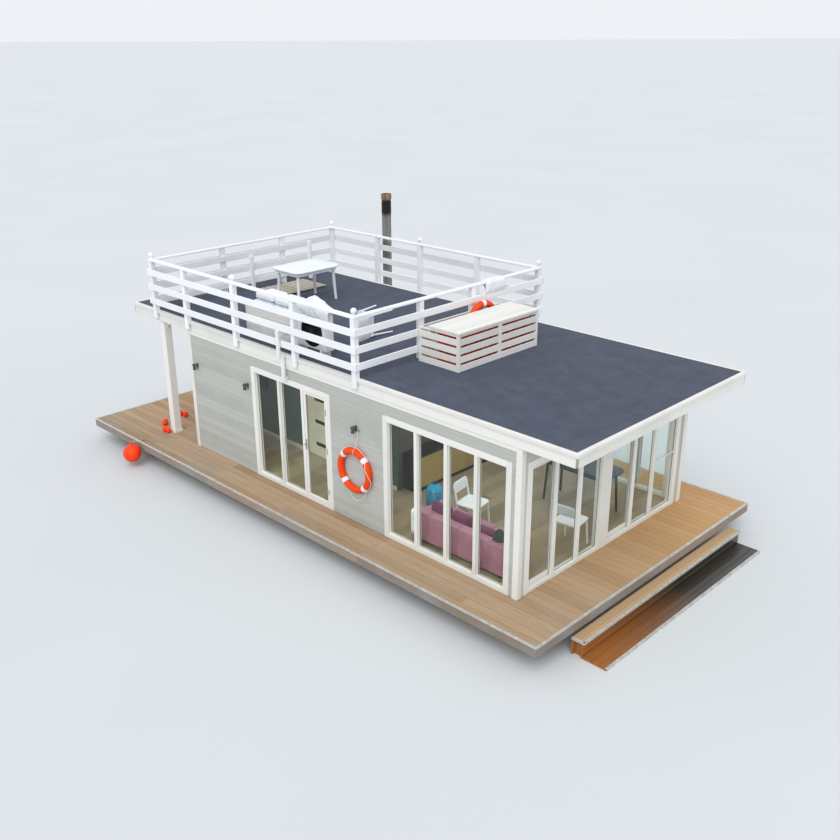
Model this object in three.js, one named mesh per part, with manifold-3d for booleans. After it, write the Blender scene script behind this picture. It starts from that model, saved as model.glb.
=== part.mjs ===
// Houseboat: a flat-roofed timber cabin on a planked deck carried by two box pontoons,
// with a railed roof terrace and two bathing steps at the front.
// Millimetres. +X points to the front, where the steps are, +Y to port, +Z up.
import * as THREE from 'three';
import { mergeVertices } from 'three/addons/utils/BufferGeometryUtils.js';
import Module from 'manifold-3d';

// Driving dimensions. Heights are counted from the top of the deck planks.
const DECK = { length: 11200, width: 5600, plank: 28, planks: 40, rim: 152, joists: 20 };
const STEP = { y: [-2040, 2190], upperZ: -200, lowerZ: -420, upperX: 11410, lowerX: 11770, board: 40 };
const HULL = { depth: 950, from: 350, to: 10850, inner: 800, outer: 2300, rake: 700 };
const CABIN = { aft: 2655, front: 10307, half: 2095, wall: 100, height: 2200 };
const OPENING_TOP = 2005;
const SIDE_DOOR = { from: 4490, to: 6524, posts: [5230, 5840] };
const SIDE_WINDOW = { from: 7710, to: 10160, posts: [8386, 8974, 9534] };
const FRONT = { from: -1954, to: 1930, post: [-225, 45], starboard: [-1310, -730], port: [655, 1215] };
const ROOF = { aft: 880, front: 11190, half: 2130, under: 2250, top: 2438 };
const PORCH_POST = { x: 1760, size: 150 };
const RAIL = {
  aft: 1720, front: 7200, y: 2145, post: 90, board: 25, boardHigh: 112, cap: 100, capTop: 3400, capHigh: 33,
  boards: [2635, 2897, 3162], ball: 48, leg: 2300,
};
const GAP = 0.3;
const terraceFloor = ROOF.top + 3 + GAP;

const wasm = await Module();
wasm.setup();

const boat = new THREE.Group();
const hullBottom = new THREE.Group();
hullBottom.position.set(-STEP.lowerX / 2, 0, HULL.depth);
boat.add(hullBottom);

const paint = (color, roughness = 0.5, metalness = 0) =>
  new THREE.MeshStandardMaterial({ color, roughness, metalness });
const WHITE = paint(0xf0f0ee);
const WALL = paint(0xb4b6b0, 0.6);
const LARCH = paint(0xb8a088, 0.75);
const FELT = paint(0x50535f, 0.95);
const GLASS = new THREE.MeshStandardMaterial({
  color: 0x9fb4b4, roughness: 0.05, transparent: true, opacity: 0.35,
});
const STEEL = paint(0x9a9a98, 0.35, 0.9);
const HULL_PAINT = paint(0x23282b, 0.6, 0.2);
const ORANGE = paint(0xf0521e, 0.5);
const PLASTIC = paint(0xeef0f2, 0.35);

function node(name, geometry, material, position = [0, 0, 0], turn = 0) {
  const mesh = new THREE.Mesh(geometry, material);
  mesh.name = name;
  mesh.position.set(...position);
  mesh.rotation.z = turn;
  hullBottom.add(mesh);
  return mesh;
}

// A box between two limits on each axis.
function block([x0, x1], [y0, y1], [z0, z1]) {
  const box = new THREE.BoxGeometry(x1 - x0, y1 - y0, z1 - z0);
  return box.translate((x0 + x1) / 2, (y0 + y1) / 2, (z0 + z1) / 2);
}

// A flat outline of [first, second] points pushed along one axis from one place to another.
function prism(points, axis, from, to) {
  const outline = new THREE.Shape(points.map(([a, b]) => new THREE.Vector2(a, b)));
  const solid = new THREE.ExtrudeGeometry(outline, { depth: to - from, bevelEnabled: false, curveSegments: 6 });
  if (axis === 'x') return solid.rotateZ(Math.PI / 2).rotateY(Math.PI / 2).translate(from, 0, 0);
  if (axis === 'y') return solid.rotateX(Math.PI / 2).translate(0, to, 0);
  return solid.translate(0, 0, from);
}

// A round bar along Z.
function rod(radius, from, to, x = 0, y = 0, sides = 16, topRadius = radius) {
  const bar = new THREE.CylinderGeometry(topRadius, radius, to - from, sides);
  return bar.rotateX(Math.PI / 2).translate(x, y, (from + to) / 2);
}

// A straight round bar between two points.
function bar(radius, a, b, sides = 8) {
  const start = new THREE.Vector3(...a);
  const run = new THREE.Vector3(...b).sub(start);
  const turn = new THREE.Quaternion().setFromUnitVectors(new THREE.Vector3(0, 1, 0), run.clone().normalize());
  const body = new THREE.CylinderGeometry(radius, radius, run.length(), sides).translate(0, run.length() / 2, 0);
  return body.applyQuaternion(turn).translate(start.x, start.y, start.z);
}

function toSolid(geometry) {
  const plain = geometry.clone();
  plain.deleteAttribute('normal');
  plain.deleteAttribute('uv');
  const shared = mergeVertices(plain, 1e-3);
  return new wasm.Manifold(new wasm.Mesh({
    numProp: 3,
    vertProperties: new Float32Array(shared.attributes.position.array),
    triVerts: new Uint32Array(shared.index.array),
  }));
}

function toGeometry(solid) {
  const mesh = solid.getMesh();
  const geometry = new THREE.BufferGeometry();
  geometry.setAttribute('position', new THREE.BufferAttribute(new Float32Array(mesh.vertProperties), 3));
  geometry.setIndex(new THREE.BufferAttribute(new Uint32Array(mesh.triVerts), 1));
  geometry.computeVertexNormals();
  return geometry;
}

function join(pieces) {
  return toGeometry(pieces.map(toSolid).reduce((whole, piece) => whole.add(piece)));
}

function cut(body, holes) {
  return toGeometry(holes.map(toSolid).reduce((whole, hole) => whole.subtract(hole), toSolid(body)));
}

// Two welded steel pontoons with raked ends, set back under the deck.
function pontoon(name, side) {
  const top = -DECK.rim - GAP;
  const bottom = -HULL.depth;
  const rise = bottom + 380;
  const outline = [
    [HULL.from, top], [HULL.from, rise], [HULL.from + HULL.rake, bottom],
    [HULL.to - HULL.rake, bottom], [HULL.to, rise], [HULL.to, top],
  ];
  const [y0, y1] = side > 0 ? [HULL.inner, HULL.outer] : [-HULL.outer, -HULL.inner];
  node(name, prism(outline, 'y', y0, y1), HULL_PAINT);
}
pontoon('pontoon_starboard', -1);
pontoon('pontoon_port', 1);

// Rim boards round the deck with joists across it, which rest on the pontoons.
function deckFrame() {
  const z = [-DECK.rim, -DECK.plank - GAP];
  const half = DECK.width / 2;
  const rim = 45;
  const pieces = [
    block([0, DECK.length], [-half, -half + rim], z), block([0, DECK.length], [half - rim, half], z),
    block([0, rim], [-half, half], z), block([DECK.length - rim, DECK.length], [-half, half], z),
  ];
  for (let i = 1; i < DECK.joists; i += 1) {
    const x = (DECK.length * i) / DECK.joists;
    pieces.push(block([x - 32, x + 32], [-half + rim - 5, half - rim + 5], [z[0] + 4, z[1] - 2]));
  }
  node('deck_frame', join(pieces), paint(0x9b978c, 0.85));
}
deckFrame();

// Deck planks that run fore and aft, with a shallow gap between each two.
function deckPlanking() {
  const half = DECK.width / 2;
  const pitch = DECK.width / DECK.planks;
  const groove = { half: 3, deep: 9 };
  const outline = [[-half, -DECK.plank], [half, -DECK.plank], [half, 0]];
  for (let i = DECK.planks - 1; i > 0; i -= 1) {
    const y = -half + i * pitch;
    outline.push([y + groove.half, 0], [y + groove.half, -groove.deep]);
    outline.push([y - groove.half, -groove.deep], [y - groove.half, 0]);
  }
  outline.push([-half, 0]);
  node('deck_planking', prism(outline, 'x', 0, DECK.length), LARCH);
}
deckPlanking();

// Two bathing steps across the front, screwed to cheek plates, a ledger and a riser board.
function frontSteps() {
  const { y: across, upperZ, lowerZ, upperX, lowerX, board } = STEP;
  const back = DECK.length + GAP;
  const cheek = [
    [back, upperZ - board + 2], [back, lowerZ - 220], [lowerX - 60, lowerZ - board + 2],
    [upperX - 28, lowerZ - board + 2], [upperX - 28, upperZ - board + 2],
  ];
  const carriers = [across[0] + 60, -690, 830, across[1] - 60].map((y) => prism(cheek, 'y', y - 22, y + 22));
  const riser = block([upperX - 50, upperX - 26], across, [lowerZ - board - 40, upperZ - board + 2]);
  const ledger = block([back, back + 40], across, [lowerZ - 150, upperZ - board + 2]);
  const upper = block([back, upperX], across, [upperZ - board, upperZ]);
  const lower = block([upperX - 30, lowerX], across, [lowerZ - board, lowerZ]);
  node('bathing_steps', join([...carriers, riser, ledger, upper, lower]), paint(0x8a4c22, 0.4));
}
frontSteps();

// Laminate floor of the cabin.
const inside = {
  x: [CABIN.aft + CABIN.wall + GAP, CABIN.front - CABIN.wall - GAP],
  y: [-CABIN.half + CABIN.wall + GAP, CABIN.half - CABIN.wall - GAP],
};
node('cabin_floor', block(inside.x, inside.y, [GAP, 12]), paint(0x8d887f, 0.4));

// Cabin walls: long side walls, with the aft and front walls fitted between them.
function cabinWalls() {
  const z = [GAP, CABIN.height];
  const { aft, front, half, wall } = CABIN;
  const hole = (from, to, y0, y1) => block([from - GAP, to + GAP], [y0, y1], [-10, OPENING_TOP + GAP]);
  const starboard = block([aft, front], [-half, -half + wall], z);
  const port = block([aft, front], [half - wall, half], z);
  const starboardHoles = [
    hole(SIDE_DOOR.from, SIDE_DOOR.to, -half - 10, -half + wall + 10),
    hole(SIDE_WINDOW.from, SIDE_WINDOW.to, -half - 10, -half + wall + 10),
  ];
  const portHoles = [hole(SIDE_WINDOW.from, SIDE_WINDOW.to, half - wall - 10, half + 10)];
  node('wall_starboard', cut(starboard, starboardHoles), WALL);
  node('wall_port', cut(port, portHoles), WALL);
  const across = [-half + wall + GAP, half - wall - GAP];
  const aftHole = block([aft - 10, aft + wall + 10], [-410, 410], [-10, 2010]);
  node('wall_aft', cut(block([aft, aft + wall], across, z), [aftHole]), WALL);
  const glazed = block([front - wall - 10, front + 10], [FRONT.from - GAP, FRONT.to + GAP], [-10, OPENING_TOP + GAP]);
  node('wall_front', cut(block([front - wall, front], across, z), [glazed]), WALL);
}
cabinWalls();

// White boards on the outside of the walls: two at each corner and one along the wall head.
function cabinTrim() {
  const { aft, front, half } = CABIN;
  const thick = 22;
  const wide = 95;
  const head = [2184, 2249];
  const pieces = [];
  for (const side of [-1, 1]) {
    const yIn = side * (half + GAP);
    const yOut = side * (half + GAP + thick);
    const y = [Math.min(yIn, yOut), Math.max(yIn, yOut)];
    const yWide = side > 0 ? [half + GAP + thick - wide, half + GAP + thick] : [-half - GAP - thick, -half - GAP - thick + wide];
    for (const [edge, way] of [[aft, -1], [front, 1]]) {
      const xIn = edge + way * GAP;
      const xOut = edge + way * (GAP + thick);
      const x = [Math.min(xIn, xOut), Math.max(xIn, xOut)];
      const xWide = way > 0 ? [xOut - wide, xOut] : [xOut, xOut + wide];
      pieces.push(block(xWide, y, [GAP, head[1]]), block(x, yWide, [GAP, head[1]]));
    }
    pieces.push(block([aft - 20, front + 20], y, head));
  }
  pieces.push(block([aft - thick - GAP, aft - GAP], [-half - 20, half + 20], head));
  pieces.push(block([front + GAP, front + thick + GAP], [-half - 20, half + 20], head));
  node('cabin_trim', join(pieces), WHITE);
}
cabinTrim();

// Flat roof: a boarded core, a white fascia round it and a felt covering.
function roof() {
  const { aft, front, half, under, top } = ROOF;
  const board = 30;
  const core = [[aft + board + GAP, front - board - GAP], [-half + board + GAP, half - board - GAP]];
  node('roof_core', block(...core, [under, top - 8 - GAP]), WHITE);
  const fascia = cut(block([aft, front], [-half, half], [under, top]), [
    block([aft + board, front - board], [-half + board, half - board], [under - 10, top + 10]),
  ]);
  const drip = cut(block([aft - 16, front + 16], [-half - 16, half + 16], [top - 42, top]), [
    block([aft + 5, front - 5], [-half + 5, half - 5], [top - 60, top + 10]),
  ]);
  node('roof_fascia', join([fascia, drip]), WHITE);
  node('roof_felt', block(...core, [top - 8, top + 3]), FELT);
}
roof();

// Square posts that carry the roof over the aft porch, each with a board to the cabin whose corners are rounded.
function porchPost(name, side) {
  const { x, size } = PORCH_POST;
  const y = side * (CABIN.half - size / 2);
  const reach = CABIN.aft - 25;
  const from = x + size / 2 - 5;
  const arch = new THREE.Shape();
  arch.moveTo(from, ROOF.under - GAP);
  arch.lineTo(from, 2080);
  arch.absellipse(from + 170, 2080, 165, 120, Math.PI, Math.PI / 2, true);
  arch.absellipse(reach - 150, 2100, 148, 100, Math.PI / 2, 0, true);
  arch.lineTo(reach, ROOF.under - GAP);
  arch.closePath();
  const board = new THREE.ExtrudeGeometry(arch, { depth: 30, bevelEnabled: false, curveSegments: 12 });
  board.rotateX(Math.PI / 2).translate(0, y + 15, 0);
  const post = block([x - size / 2, x + size / 2], [y - size / 2, y + size / 2], [GAP, ROOF.under - GAP]);
  node(name, join([post, board]), WHITE);
}
porchPost('porch_post_starboard', -1);
porchPost('porch_post_port', 1);

// A glazing frame in a long wall: jambs, head, sill and the posts between its panes.
// The last pane is left open where a hinged leaf stands in it.
function sideFrame(name, { from, to, posts }, side, member = 75) {
  const face = side * (CABIN.half + 12);
  const back = side * (CABIN.half - CABIN.wall + 5);
  const y = [Math.min(face, back), Math.max(face, back)];
  const inner = side * (CABIN.half - 42);
  const yPost = [Math.min(face, inner), Math.max(face, inner)];
  const pieces = [
    block([from, from + member + 20], y, [GAP, OPENING_TOP]), block([to - member - 20, to], y, [GAP, OPENING_TOP]),
    block([from, to], y, [OPENING_TOP - member - 20, OPENING_TOP]), block([from, to], y, [GAP, 70]),
    ...posts.map((x) => block([x - 30, x + 30], yPost, [10, OPENING_TOP - 10])),
  ];
  node(name, join(pieces), WHITE);
}
function sidePane(name, from, to, side) {
  const near = side * (CABIN.half - 50);
  const far = side * (CABIN.half - 56);
  node(name, block([from, to], [Math.min(near, far), Math.max(near, far)], [70 + GAP, OPENING_TOP - 95 - GAP]), GLASS);
}
sideFrame('side_window_frame', SIDE_WINDOW, -1);
sidePane('side_window_glass', SIDE_WINDOW.from + 95 + GAP, SIDE_WINDOW.to - 95 - GAP, -1);
sideFrame('port_window_frame', SIDE_WINDOW, 1);
sidePane('port_window_glass', SIDE_WINDOW.from + 95 + GAP, SIDE_WINDOW.to - 95 - GAP, 1);
sideFrame('side_door_frame', SIDE_DOOR, -1);
sidePane('side_door_glass', SIDE_DOOR.from + 95 + GAP, SIDE_DOOR.posts[1] + 10, -1);

// A leaf: a rectangular ring round a pane. Width runs along the first axis, u, of the leaf.
function leafRing(u, depth, z, member, alongX) {
  const outer = alongX ? block(u, depth, z) : block(depth, u, z);
  const hole = [u[0] + member, u[1] - member];
  const through = [depth[0] - 5, depth[1] + 5];
  const gapZ = [z[0] + member, z[1] - member];
  return cut(outer, [alongX ? block(hole, through, gapZ) : block(through, hole, gapZ)]);
}
function leafPane(u, depth, z, member, alongX) {
  const mid = (depth[0] + depth[1]) / 2;
  const across = [mid - 3, mid + 3];
  const span = [u[0] + member + GAP, u[1] - member - GAP];
  const tall = [z[0] + member + GAP, z[1] - member - GAP];
  return alongX ? block(span, across, tall) : block(across, span, tall);
}

// The third light of the side door opens outward on hinges at its forward jamb.
const doorLeaf = {
  u: [SIDE_DOOR.posts[1] + 38, SIDE_DOOR.to - 95 - 6], depth: [-CABIN.half - 4, -CABIN.half + 36],
  z: [76, OPENING_TOP - 95 - 6],
};
node('side_door_leaf', leafRing(doorLeaf.u, doorLeaf.depth, doorLeaf.z, 44, true), WHITE);
node('side_door_leaf_glass', leafPane(doorLeaf.u, doorLeaf.depth, doorLeaf.z, 44, true), GLASS);

// Front glazing: two groups of three panes. In each a leaf slides behind the fixed lights.
function frontFrame() {
  const { from, to, post, starboard, port } = FRONT;
  const x = [CABIN.front - CABIN.wall + 5, CABIN.front + 12];
  const xPost = [CABIN.front - 25, CABIN.front + 8];
  const pieces = [
    block(x, [from, from + 100], [GAP, OPENING_TOP]), block(x, [to - 90, to], [GAP, OPENING_TOP]),
    block(x, post, [GAP, OPENING_TOP]),
    block(x, [from, to], [OPENING_TOP - 95, OPENING_TOP]), block(x, [from, to], [GAP, 60]),
    ...[...starboard, ...port].map((y) => block(xPost, [y - 38, y + 38], [10, OPENING_TOP - 10])),
    block(xPost, [port[1], to - 10], [956, 976]),
  ];
  node('front_frame', join(pieces), WHITE);
}
frontFrame();
const fixedPane = [CABIN.front - 33, CABIN.front - 27];
const paneTall = [60 + GAP, OPENING_TOP - 95 - GAP];
node('front_glass_starboard', block(fixedPane, [FRONT.starboard[0] - 20, FRONT.post[0] - GAP], paneTall), GLASS);
node('front_glass_port', block(fixedPane, [FRONT.port[0] - 20, FRONT.to - 90 - GAP], paneTall), GLASS);
const slideDepth = [CABIN.front - 82, CABIN.front - 42];
const slideTall = [66, OPENING_TOP - 95 - 6];
const slides = {
  starboard: [FRONT.from + 106, FRONT.starboard[0] + 38],
  port: [FRONT.post[1] + 6, FRONT.port[0] + 38],
};
for (const [side, u] of Object.entries(slides)) {
  node(`front_leaf_${side}`, leafRing(u, slideDepth, slideTall, 70, false), WHITE);
  node(`front_leaf_glass_${side}`, leafPane(u, slideDepth, slideTall, 70, false), GLASS);
}

// A boarded door from the porch into the cabin.
const aftLeaf = { y: [-402, 404], x: [CABIN.aft - 4, CABIN.aft + 40], z: [8, 2004] };
node('aft_door_leaf', block(aftLeaf.x, aftLeaf.y, aftLeaf.z), WHITE);

// Inner walls: one along the side passage, with the door of the sleeping cabin, and one across
// behind the saloon. The side passage runs from the saloon to the aft wall.
const INNER = { y: -900, thick: 60, x: 6700, door: [4430, 5230] };
function innerWalls() {
  const { y, thick, x, door } = INNER;
  const z = [12 + GAP, CABIN.height - GAP];
  const along = block([inside.x[0], x + thick], [y, y + thick], z);
  const across = block([x, x + thick], [y, inside.y[1]], z);
  const opening = block([door[0], door[1]], [y - 10, y + thick + 10], [0, 2012]);
  node('inner_walls', cut(join([along, across]), [opening]), paint(0x59605c));
  const leaf = { x: [door[0] + 9, door[1] - 9], y: [y + 10, y + 50], z: [20, 2004] };
  node('inner_door', block(leaf.x, leaf.y, leaf.z), paint(0xd8cfb2));
}
innerWalls();

// Low sideboard against the cross wall, with a black top and plinth.
function sideboard() {
  const x = [INNER.x + INNER.thick + GAP, 7080];
  const y = [-770, 1100];
  const body = block([x[0], x[1] - 12], [y[0] + 12, y[1] - 12], [80, 640]);
  const plinth = block([x[0], x[1] - 30], [y[0] + 30, y[1] - 30], [12 + GAP, 90]);
  node('sideboard', join([body, plinth, block(x, y, [636, 680])]), paint(0xb09a6a, 0.5));
}
sideboard();

// Terrace railing: posts, three boards nailed outside them, a flat cap rail and ball finials. The posts
// of the long sides are notched over the roof's edge and reach down outside its fascia.
function finial(x, y) {
  const neck = block([x - 26, x + 26], [y - 26, y + 26], [RAIL.capTop - 10, RAIL.capTop + 38]);
  const ball = new THREE.SphereGeometry(RAIL.ball, 10, 7).rotateX(Math.PI / 2);
  return [neck, ball.translate(x, y, RAIL.capTop + 75)];
}
const postHalf = RAIL.post / 2;
const postTop = RAIL.capTop - RAIL.capHigh + 5;
const ordered = (a, b) => [Math.min(a, b), Math.max(a, b)];
function railBoards(x, y) {
  return RAIL.boards.map((z) => block(x, y, [z - RAIL.boardHigh / 2, z + RAIL.boardHigh / 2]));
}
function sideRail(name, side, posts) {
  const y = side * RAIL.y;
  const outside = side * (RAIL.y + postHalf);
  const leg = ordered(side * (ROOF.half + 16 + GAP), outside);
  const overhang = postHalf + RAIL.board + 12;
  const pieces = railBoards([RAIL.aft - overhang, RAIL.front + overhang], ordered(outside - side, outside + side * RAIL.board));
  for (const [x, ball] of posts) {
    const across = [x - postHalf, x + postHalf];
    pieces.push(block(across, [y - postHalf, y + postHalf], [terraceFloor, postTop]));
    pieces.push(block(across, leg, [RAIL.leg, terraceFloor + 20]));
    if (ball) pieces.push(...finial(x, y));
  }
  const capX = [RAIL.aft - RAIL.cap / 2, RAIL.front + RAIL.cap / 2];
  pieces.push(block(capX, [y - RAIL.cap / 2, y + RAIL.cap / 2], [RAIL.capTop - RAIL.capHigh, RAIL.capTop]));
  node(name, join(pieces), WHITE);
}
sideRail('railing_starboard', -1, [[RAIL.aft, true], [2760, false], [4220, true], [5790, false], [RAIL.front, true]]);
sideRail('railing_port', 1, [[RAIL.aft, true], [3120, false], [4330, true], [5790, false], [RAIL.front, true]]);

// A railing across the roof uses the corner posts of the long sides, so its own posts are those between.
function crossRail(x, way, posts) {
  const outside = x + way * (postHalf + GAP);
  const reach = RAIL.y + postHalf - 1 - GAP;
  const capReach = RAIL.y - RAIL.cap / 2 - GAP;
  const pieces = railBoards(ordered(outside, outside + way * RAIL.board), [-reach, reach]);
  const postX = ordered(x - way * postHalf, outside + way);
  for (const y of posts) pieces.push(block(postX, [y - postHalf, y + postHalf], [terraceFloor, postTop]));
  const capZ = [RAIL.capTop - RAIL.capHigh, RAIL.capTop];
  pieces.push(block([x - RAIL.cap / 2, x + RAIL.cap / 2], [-capReach, capReach], capZ));
  return pieces;
}
node('railing_front', join(crossRail(RAIL.front, 1, [-780, 420])), WHITE);
// The aft railing has boards inside its posts as well, which end at a short post on the port side.
const INNER_BOARDS = { from: -2095, to: 1450, posts: [[-20, 3127], [1445, 3215]], postX: [1788, 1850] };
function aftRail() {
  const inside = RAIL.aft + postHalf;
  const boards = railBoards([inside - 1, inside + RAIL.board], [INNER_BOARDS.from, INNER_BOARDS.to]);
  const posts = INNER_BOARDS.posts.map(([y, top]) => block(INNER_BOARDS.postX, [y - 35, y + 35], [terraceFloor, top]));
  node('railing_aft', join([...crossRail(RAIL.aft, -1, [-620, 810]), ...boards, ...posts]), WHITE);
}
aftRail();

// Slatted chest in front of the railing. A slot along its back is open from above, and the rest
// has a hinged slatted lid with life jackets under it.
const CHEST = { x: [7280, 8115], y: [-900, 1000], top: 3010, lid: 32, slot: 7495, post: 50, slat: 20 };
function chest() {
  const { x, y, top, slot, post, slat } = CHEST;
  const upright = (cx, cy, wide) => block([cx, cx + post], [cy, cy + wide], [terraceFloor, top]);
  const pieces = [upright(x[1] - post, 35, 60)];
  for (const cx of [x[0], x[1] - post]) for (const cy of [y[0], y[1] - post]) pieces.push(upright(cx, cy, post));
  const long = [y[0] + post - 2, y[1] - post + 2];
  const short = [x[0] + post - 2, x[1] - post + 2];
  for (let i = 0; i < 5; i += 1) {
    const z = [terraceFloor + i * 136, Math.min(terraceFloor + i * 136 + 99, top)];
    pieces.push(block([x[0] + 3, x[0] + 3 + slat], long, z), block([x[1] - 3 - slat, x[1] - 3], long, z));
    pieces.push(block(short, [y[0] + 3, y[0] + 3 + slat], z), block(short, [y[1] - 3 - slat, y[1] - 3], z));
  }
  pieces.push(block([x[0] + 10, x[1] - 10], [y[0] + 10, y[1] - 10], [terraceFloor, terraceFloor + 20]));
  node('chest', join(pieces), WHITE);
  const front = x[1] + 8;
  const across = [y[0] - 8, y[1] + 8];
  const under = [top + 6, top + 20];
  const lid = [[slot + 24, slot + 74], [front - 50, front - 2]].map((bx) => block(bx, [across[0] + 5, across[1] - 5], under));
  const slats = { count: 6, wide: 97, pitch: (front - slot - 97) / 5 };
  for (let i = 0; i < slats.count; i += 1) {
    const from = slot + i * slats.pitch;
    lid.push(block([from, from + slats.wide], across, [top + 18, top + 18 + CHEST.lid]));
  }
  for (const cy of [across[0] + 30, (y[0] + y[1]) / 2, across[1] - 30]) {
    lid.push(block([slot + 4, front - 4], [cy - 26, cy + 26], under));
  }
  node('chest_lid', join(lid), WHITE);
  const inside = [y[0] + 75, y[1] - 75];
  node('life_jackets', block([slot + 15, x[1] - 75], inside, [terraceFloor + 20 + GAP, top - 60]), ORANGE);
}
chest();

// Outdoor air-conditioning unit on two trestles, with a round fan in its face. A duct cover takes its
// pipes out between two railing boards and down the wall to the door head.
const AIRCON = { x: [5400, 6190], y: [-1860, -1680], z: [2560, 3195], fan: [5870, 2840], radius: 250 };
function aircon() {
  const { x, y, z, fan, radius } = AIRCON;
  const pocket = rod(radius, 0, 140, 0, 0, 28).rotateX(Math.PI / 2).translate(fan[0], y[0] + 130, fan[1]);
  const shell = cut(block(x, y, z), [pocket]);
  const feet = [x[0] + 90, x[1] - 130].map((fx) => block([fx, fx + 40], [y[0] - 10, y[1] + 10], [terraceFloor, z[0] + 4]));
  const ductX = [5460, 5520];
  const face = -(ROOF.half + 16 + GAP);
  const outside = [-RAIL.y - 123, -RAIL.y - 77];
  const duct = [
    block([ductX[0] + 6, ductX[1] - 6], [outside[0] + 4, y[0] + 5], [2740, 2785]),
    block(ductX, outside, [2460, 2860]),
    block(ductX, [outside[0], face], [2420, 2466]), block(ductX, [face - 45, face], [2060, 2466]),
    block(ductX, [face - 45, -CABIN.half - GAP], [2012, 2062]),
  ];
  node('aircon_unit', join([shell, ...feet, ...duct]), PLASTIC);
  const blades = [rod(48, 0, 70, 0, 0, 14)];
  for (let i = 0; i < 4; i += 1) {
    const blade = block([30, radius - 20], [-62, 62], [28, 36]).rotateX(0.35).rotateZ((i * Math.PI) / 2);
    blades.push(blade);
  }
  const rotor = join(blades).rotateX(Math.PI / 2);
  node('aircon_fan', rotor, paint(0x15171a, 0.5), [fan[0], y[0] + 112, fan[1]]);
}
aircon();

// Boarded locker beside the unit.
function roofLocker() {
  const x = [4130, 5300];
  const y = [-1860, -1440];
  const pieces = [block([x[0] + 14, x[1] - 14], [y[0] + 14, y[1] - 14], [terraceFloor, 2960])];
  for (let i = 0; i < 4; i += 1) pieces.push(block(x, y, [terraceFloor + 8 + i * 128, terraceFloor + 126 + i * 128]));
  node('roof_locker', join(pieces), WHITE);
}
roofLocker();

// White seat cushions stored on the locker and on the unit.
function storedCushions() {
  const low = block([4350, 5392], [-1880, -1480], [2960 + GAP, 3230]);
  const high = block([5382, 6200], [-1880, -1640], [AIRCON.z[1] + GAP, 3400]);
  node('stored_cushions', join([low, high]), paint(0xe9edf0, 0.8));
}
storedCushions();

// Duckboard of weathered slats before the aft railing.
function duckboard() {
  const x = [1885, 2640];
  const y = [80, 1180];
  const pieces = [x[0] + 60, x[1] - 110].map((from) => block([from, from + 50], y, [terraceFloor, terraceFloor + 22]));
  for (let i = 0; i < 9; i += 1) {
    const from = y[0] + i * 125;
    pieces.push(block(x, [from, from + 100], [terraceFloor + 20, terraceFloor + 38]));
  }
  node('duckboard', join(pieces), paint(0xb5ae9c, 0.8));
}
duckboard();

// Moulded table and chairs.
function roundedRectangle(length, width, radius) {
  const shape = new THREE.Shape();
  const a = length / 2;
  const b = width / 2;
  shape.moveTo(-a + radius, -b);
  shape.lineTo(a - radius, -b);
  shape.absarc(a - radius, -b + radius, radius, -Math.PI / 2, 0, false);
  shape.lineTo(a, b - radius);
  shape.absarc(a - radius, b - radius, radius, 0, Math.PI / 2, false);
  shape.lineTo(-a + radius, b);
  shape.absarc(-a + radius, b - radius, radius, Math.PI / 2, Math.PI, false);
  shape.lineTo(-a, -b + radius);
  shape.absarc(-a + radius, -b + radius, radius, Math.PI, 1.5 * Math.PI, false);
  return shape;
}
function slab(shape, from, to) {
  return new THREE.ExtrudeGeometry(shape, { depth: to - from, bevelEnabled: false, curveSegments: 5 })
    .translate(0, 0, from);
}
function table(name, length, width, height, material, position, legRadius) {
  const pieces = [slab(roundedRectangle(length, width, 170), height - 32, height)];
  for (const sx of [-1, 1]) {
    for (const sy of [-1, 1]) {
      const top = [sx * (length / 2 - 140), sy * (width / 2 - 130), height - 25];
      const foot = [sx * (length / 2 - 105), sy * (width / 2 - 95), 0];
      pieces.push(bar(legRadius, foot, top, 8));
    }
  }
  node(name, join(pieces), material, position);
}
table('terrace_table', 830, 1090, 670, PLASTIC, [3200, 220, terraceFloor + 6], 30);
// A chair's seat on four legs, with two stiles and a board as its back. It faces its own +X.
function chair(backHigh = 180, backMiddle = 715) {
  const pieces = [slab(roundedRectangle(400, 410, 70), 415, 440)];
  for (const sy of [-1, 1]) {
    pieces.push(bar(17, [195, sy * 190, 0], [165, sy * 165, 425], 7));
    pieces.push(bar(17, [-205, sy * 190, 0], [-170, sy * 170, 425], 7));
    pieces.push(bar(15, [-180, sy * 172, 422], [-228, sy * 168, 700], 7));
  }
  const back = slab(roundedRectangle(backHigh, 390, 70), -11, 11).rotateY(1.4).translate(-228, 0, backMiddle);
  return join([...pieces, back]);
}
// The terrace chair has fallen on its side, with its feet to port and its back forward.
const onItsSide = new THREE.Matrix4().makeBasis(
  new THREE.Vector3(-1, 0, 0), new THREE.Vector3(0, 0, -1), new THREE.Vector3(0, -1, 0),
);
node('terrace_chair', chair(390, 680).applyMatrix4(onItsSide), PLASTIC, [5680, -120, terraceFloor + 207.3]);
node('saloon_chair', chair(180, 665), PLASTIC, [8510, -970, 12 + GAP + 6], 0.16);
node('front_chair', chair(180, 665), PLASTIC, [9935, -375, 12 + GAP + 6], 1.7);
table('saloon_table', 1320, 650, 740, paint(0x24303a, 0.35), [9265, 800, 12 + GAP + 6], 22);

// Lifebuoys: plain rings, one hung on the wall and one standing in the slot of the chest.
function ring(outer, tube) {
  return new THREE.TorusGeometry(outer - tube, tube, 12, 32);
}
const WALL_RING = { centre: [7120, -CABIN.half - 57, 930], outer: 375, tube: 55 };
node('wall_lifebuoy', ring(WALL_RING.outer, WALL_RING.tube).rotateX(Math.PI / 2), ORANGE, WALL_RING.centre);
const STANDING_RING = { x: 7380, y: 485, outer: 350, tube: 55 };
const standing = ring(STANDING_RING.outer, STANDING_RING.tube).rotateY(Math.PI / 2);
node('roof_lifebuoy', standing, ORANGE,
  [STANDING_RING.x, STANDING_RING.y, terraceFloor + 20 + GAP + STANDING_RING.outer]);

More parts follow.
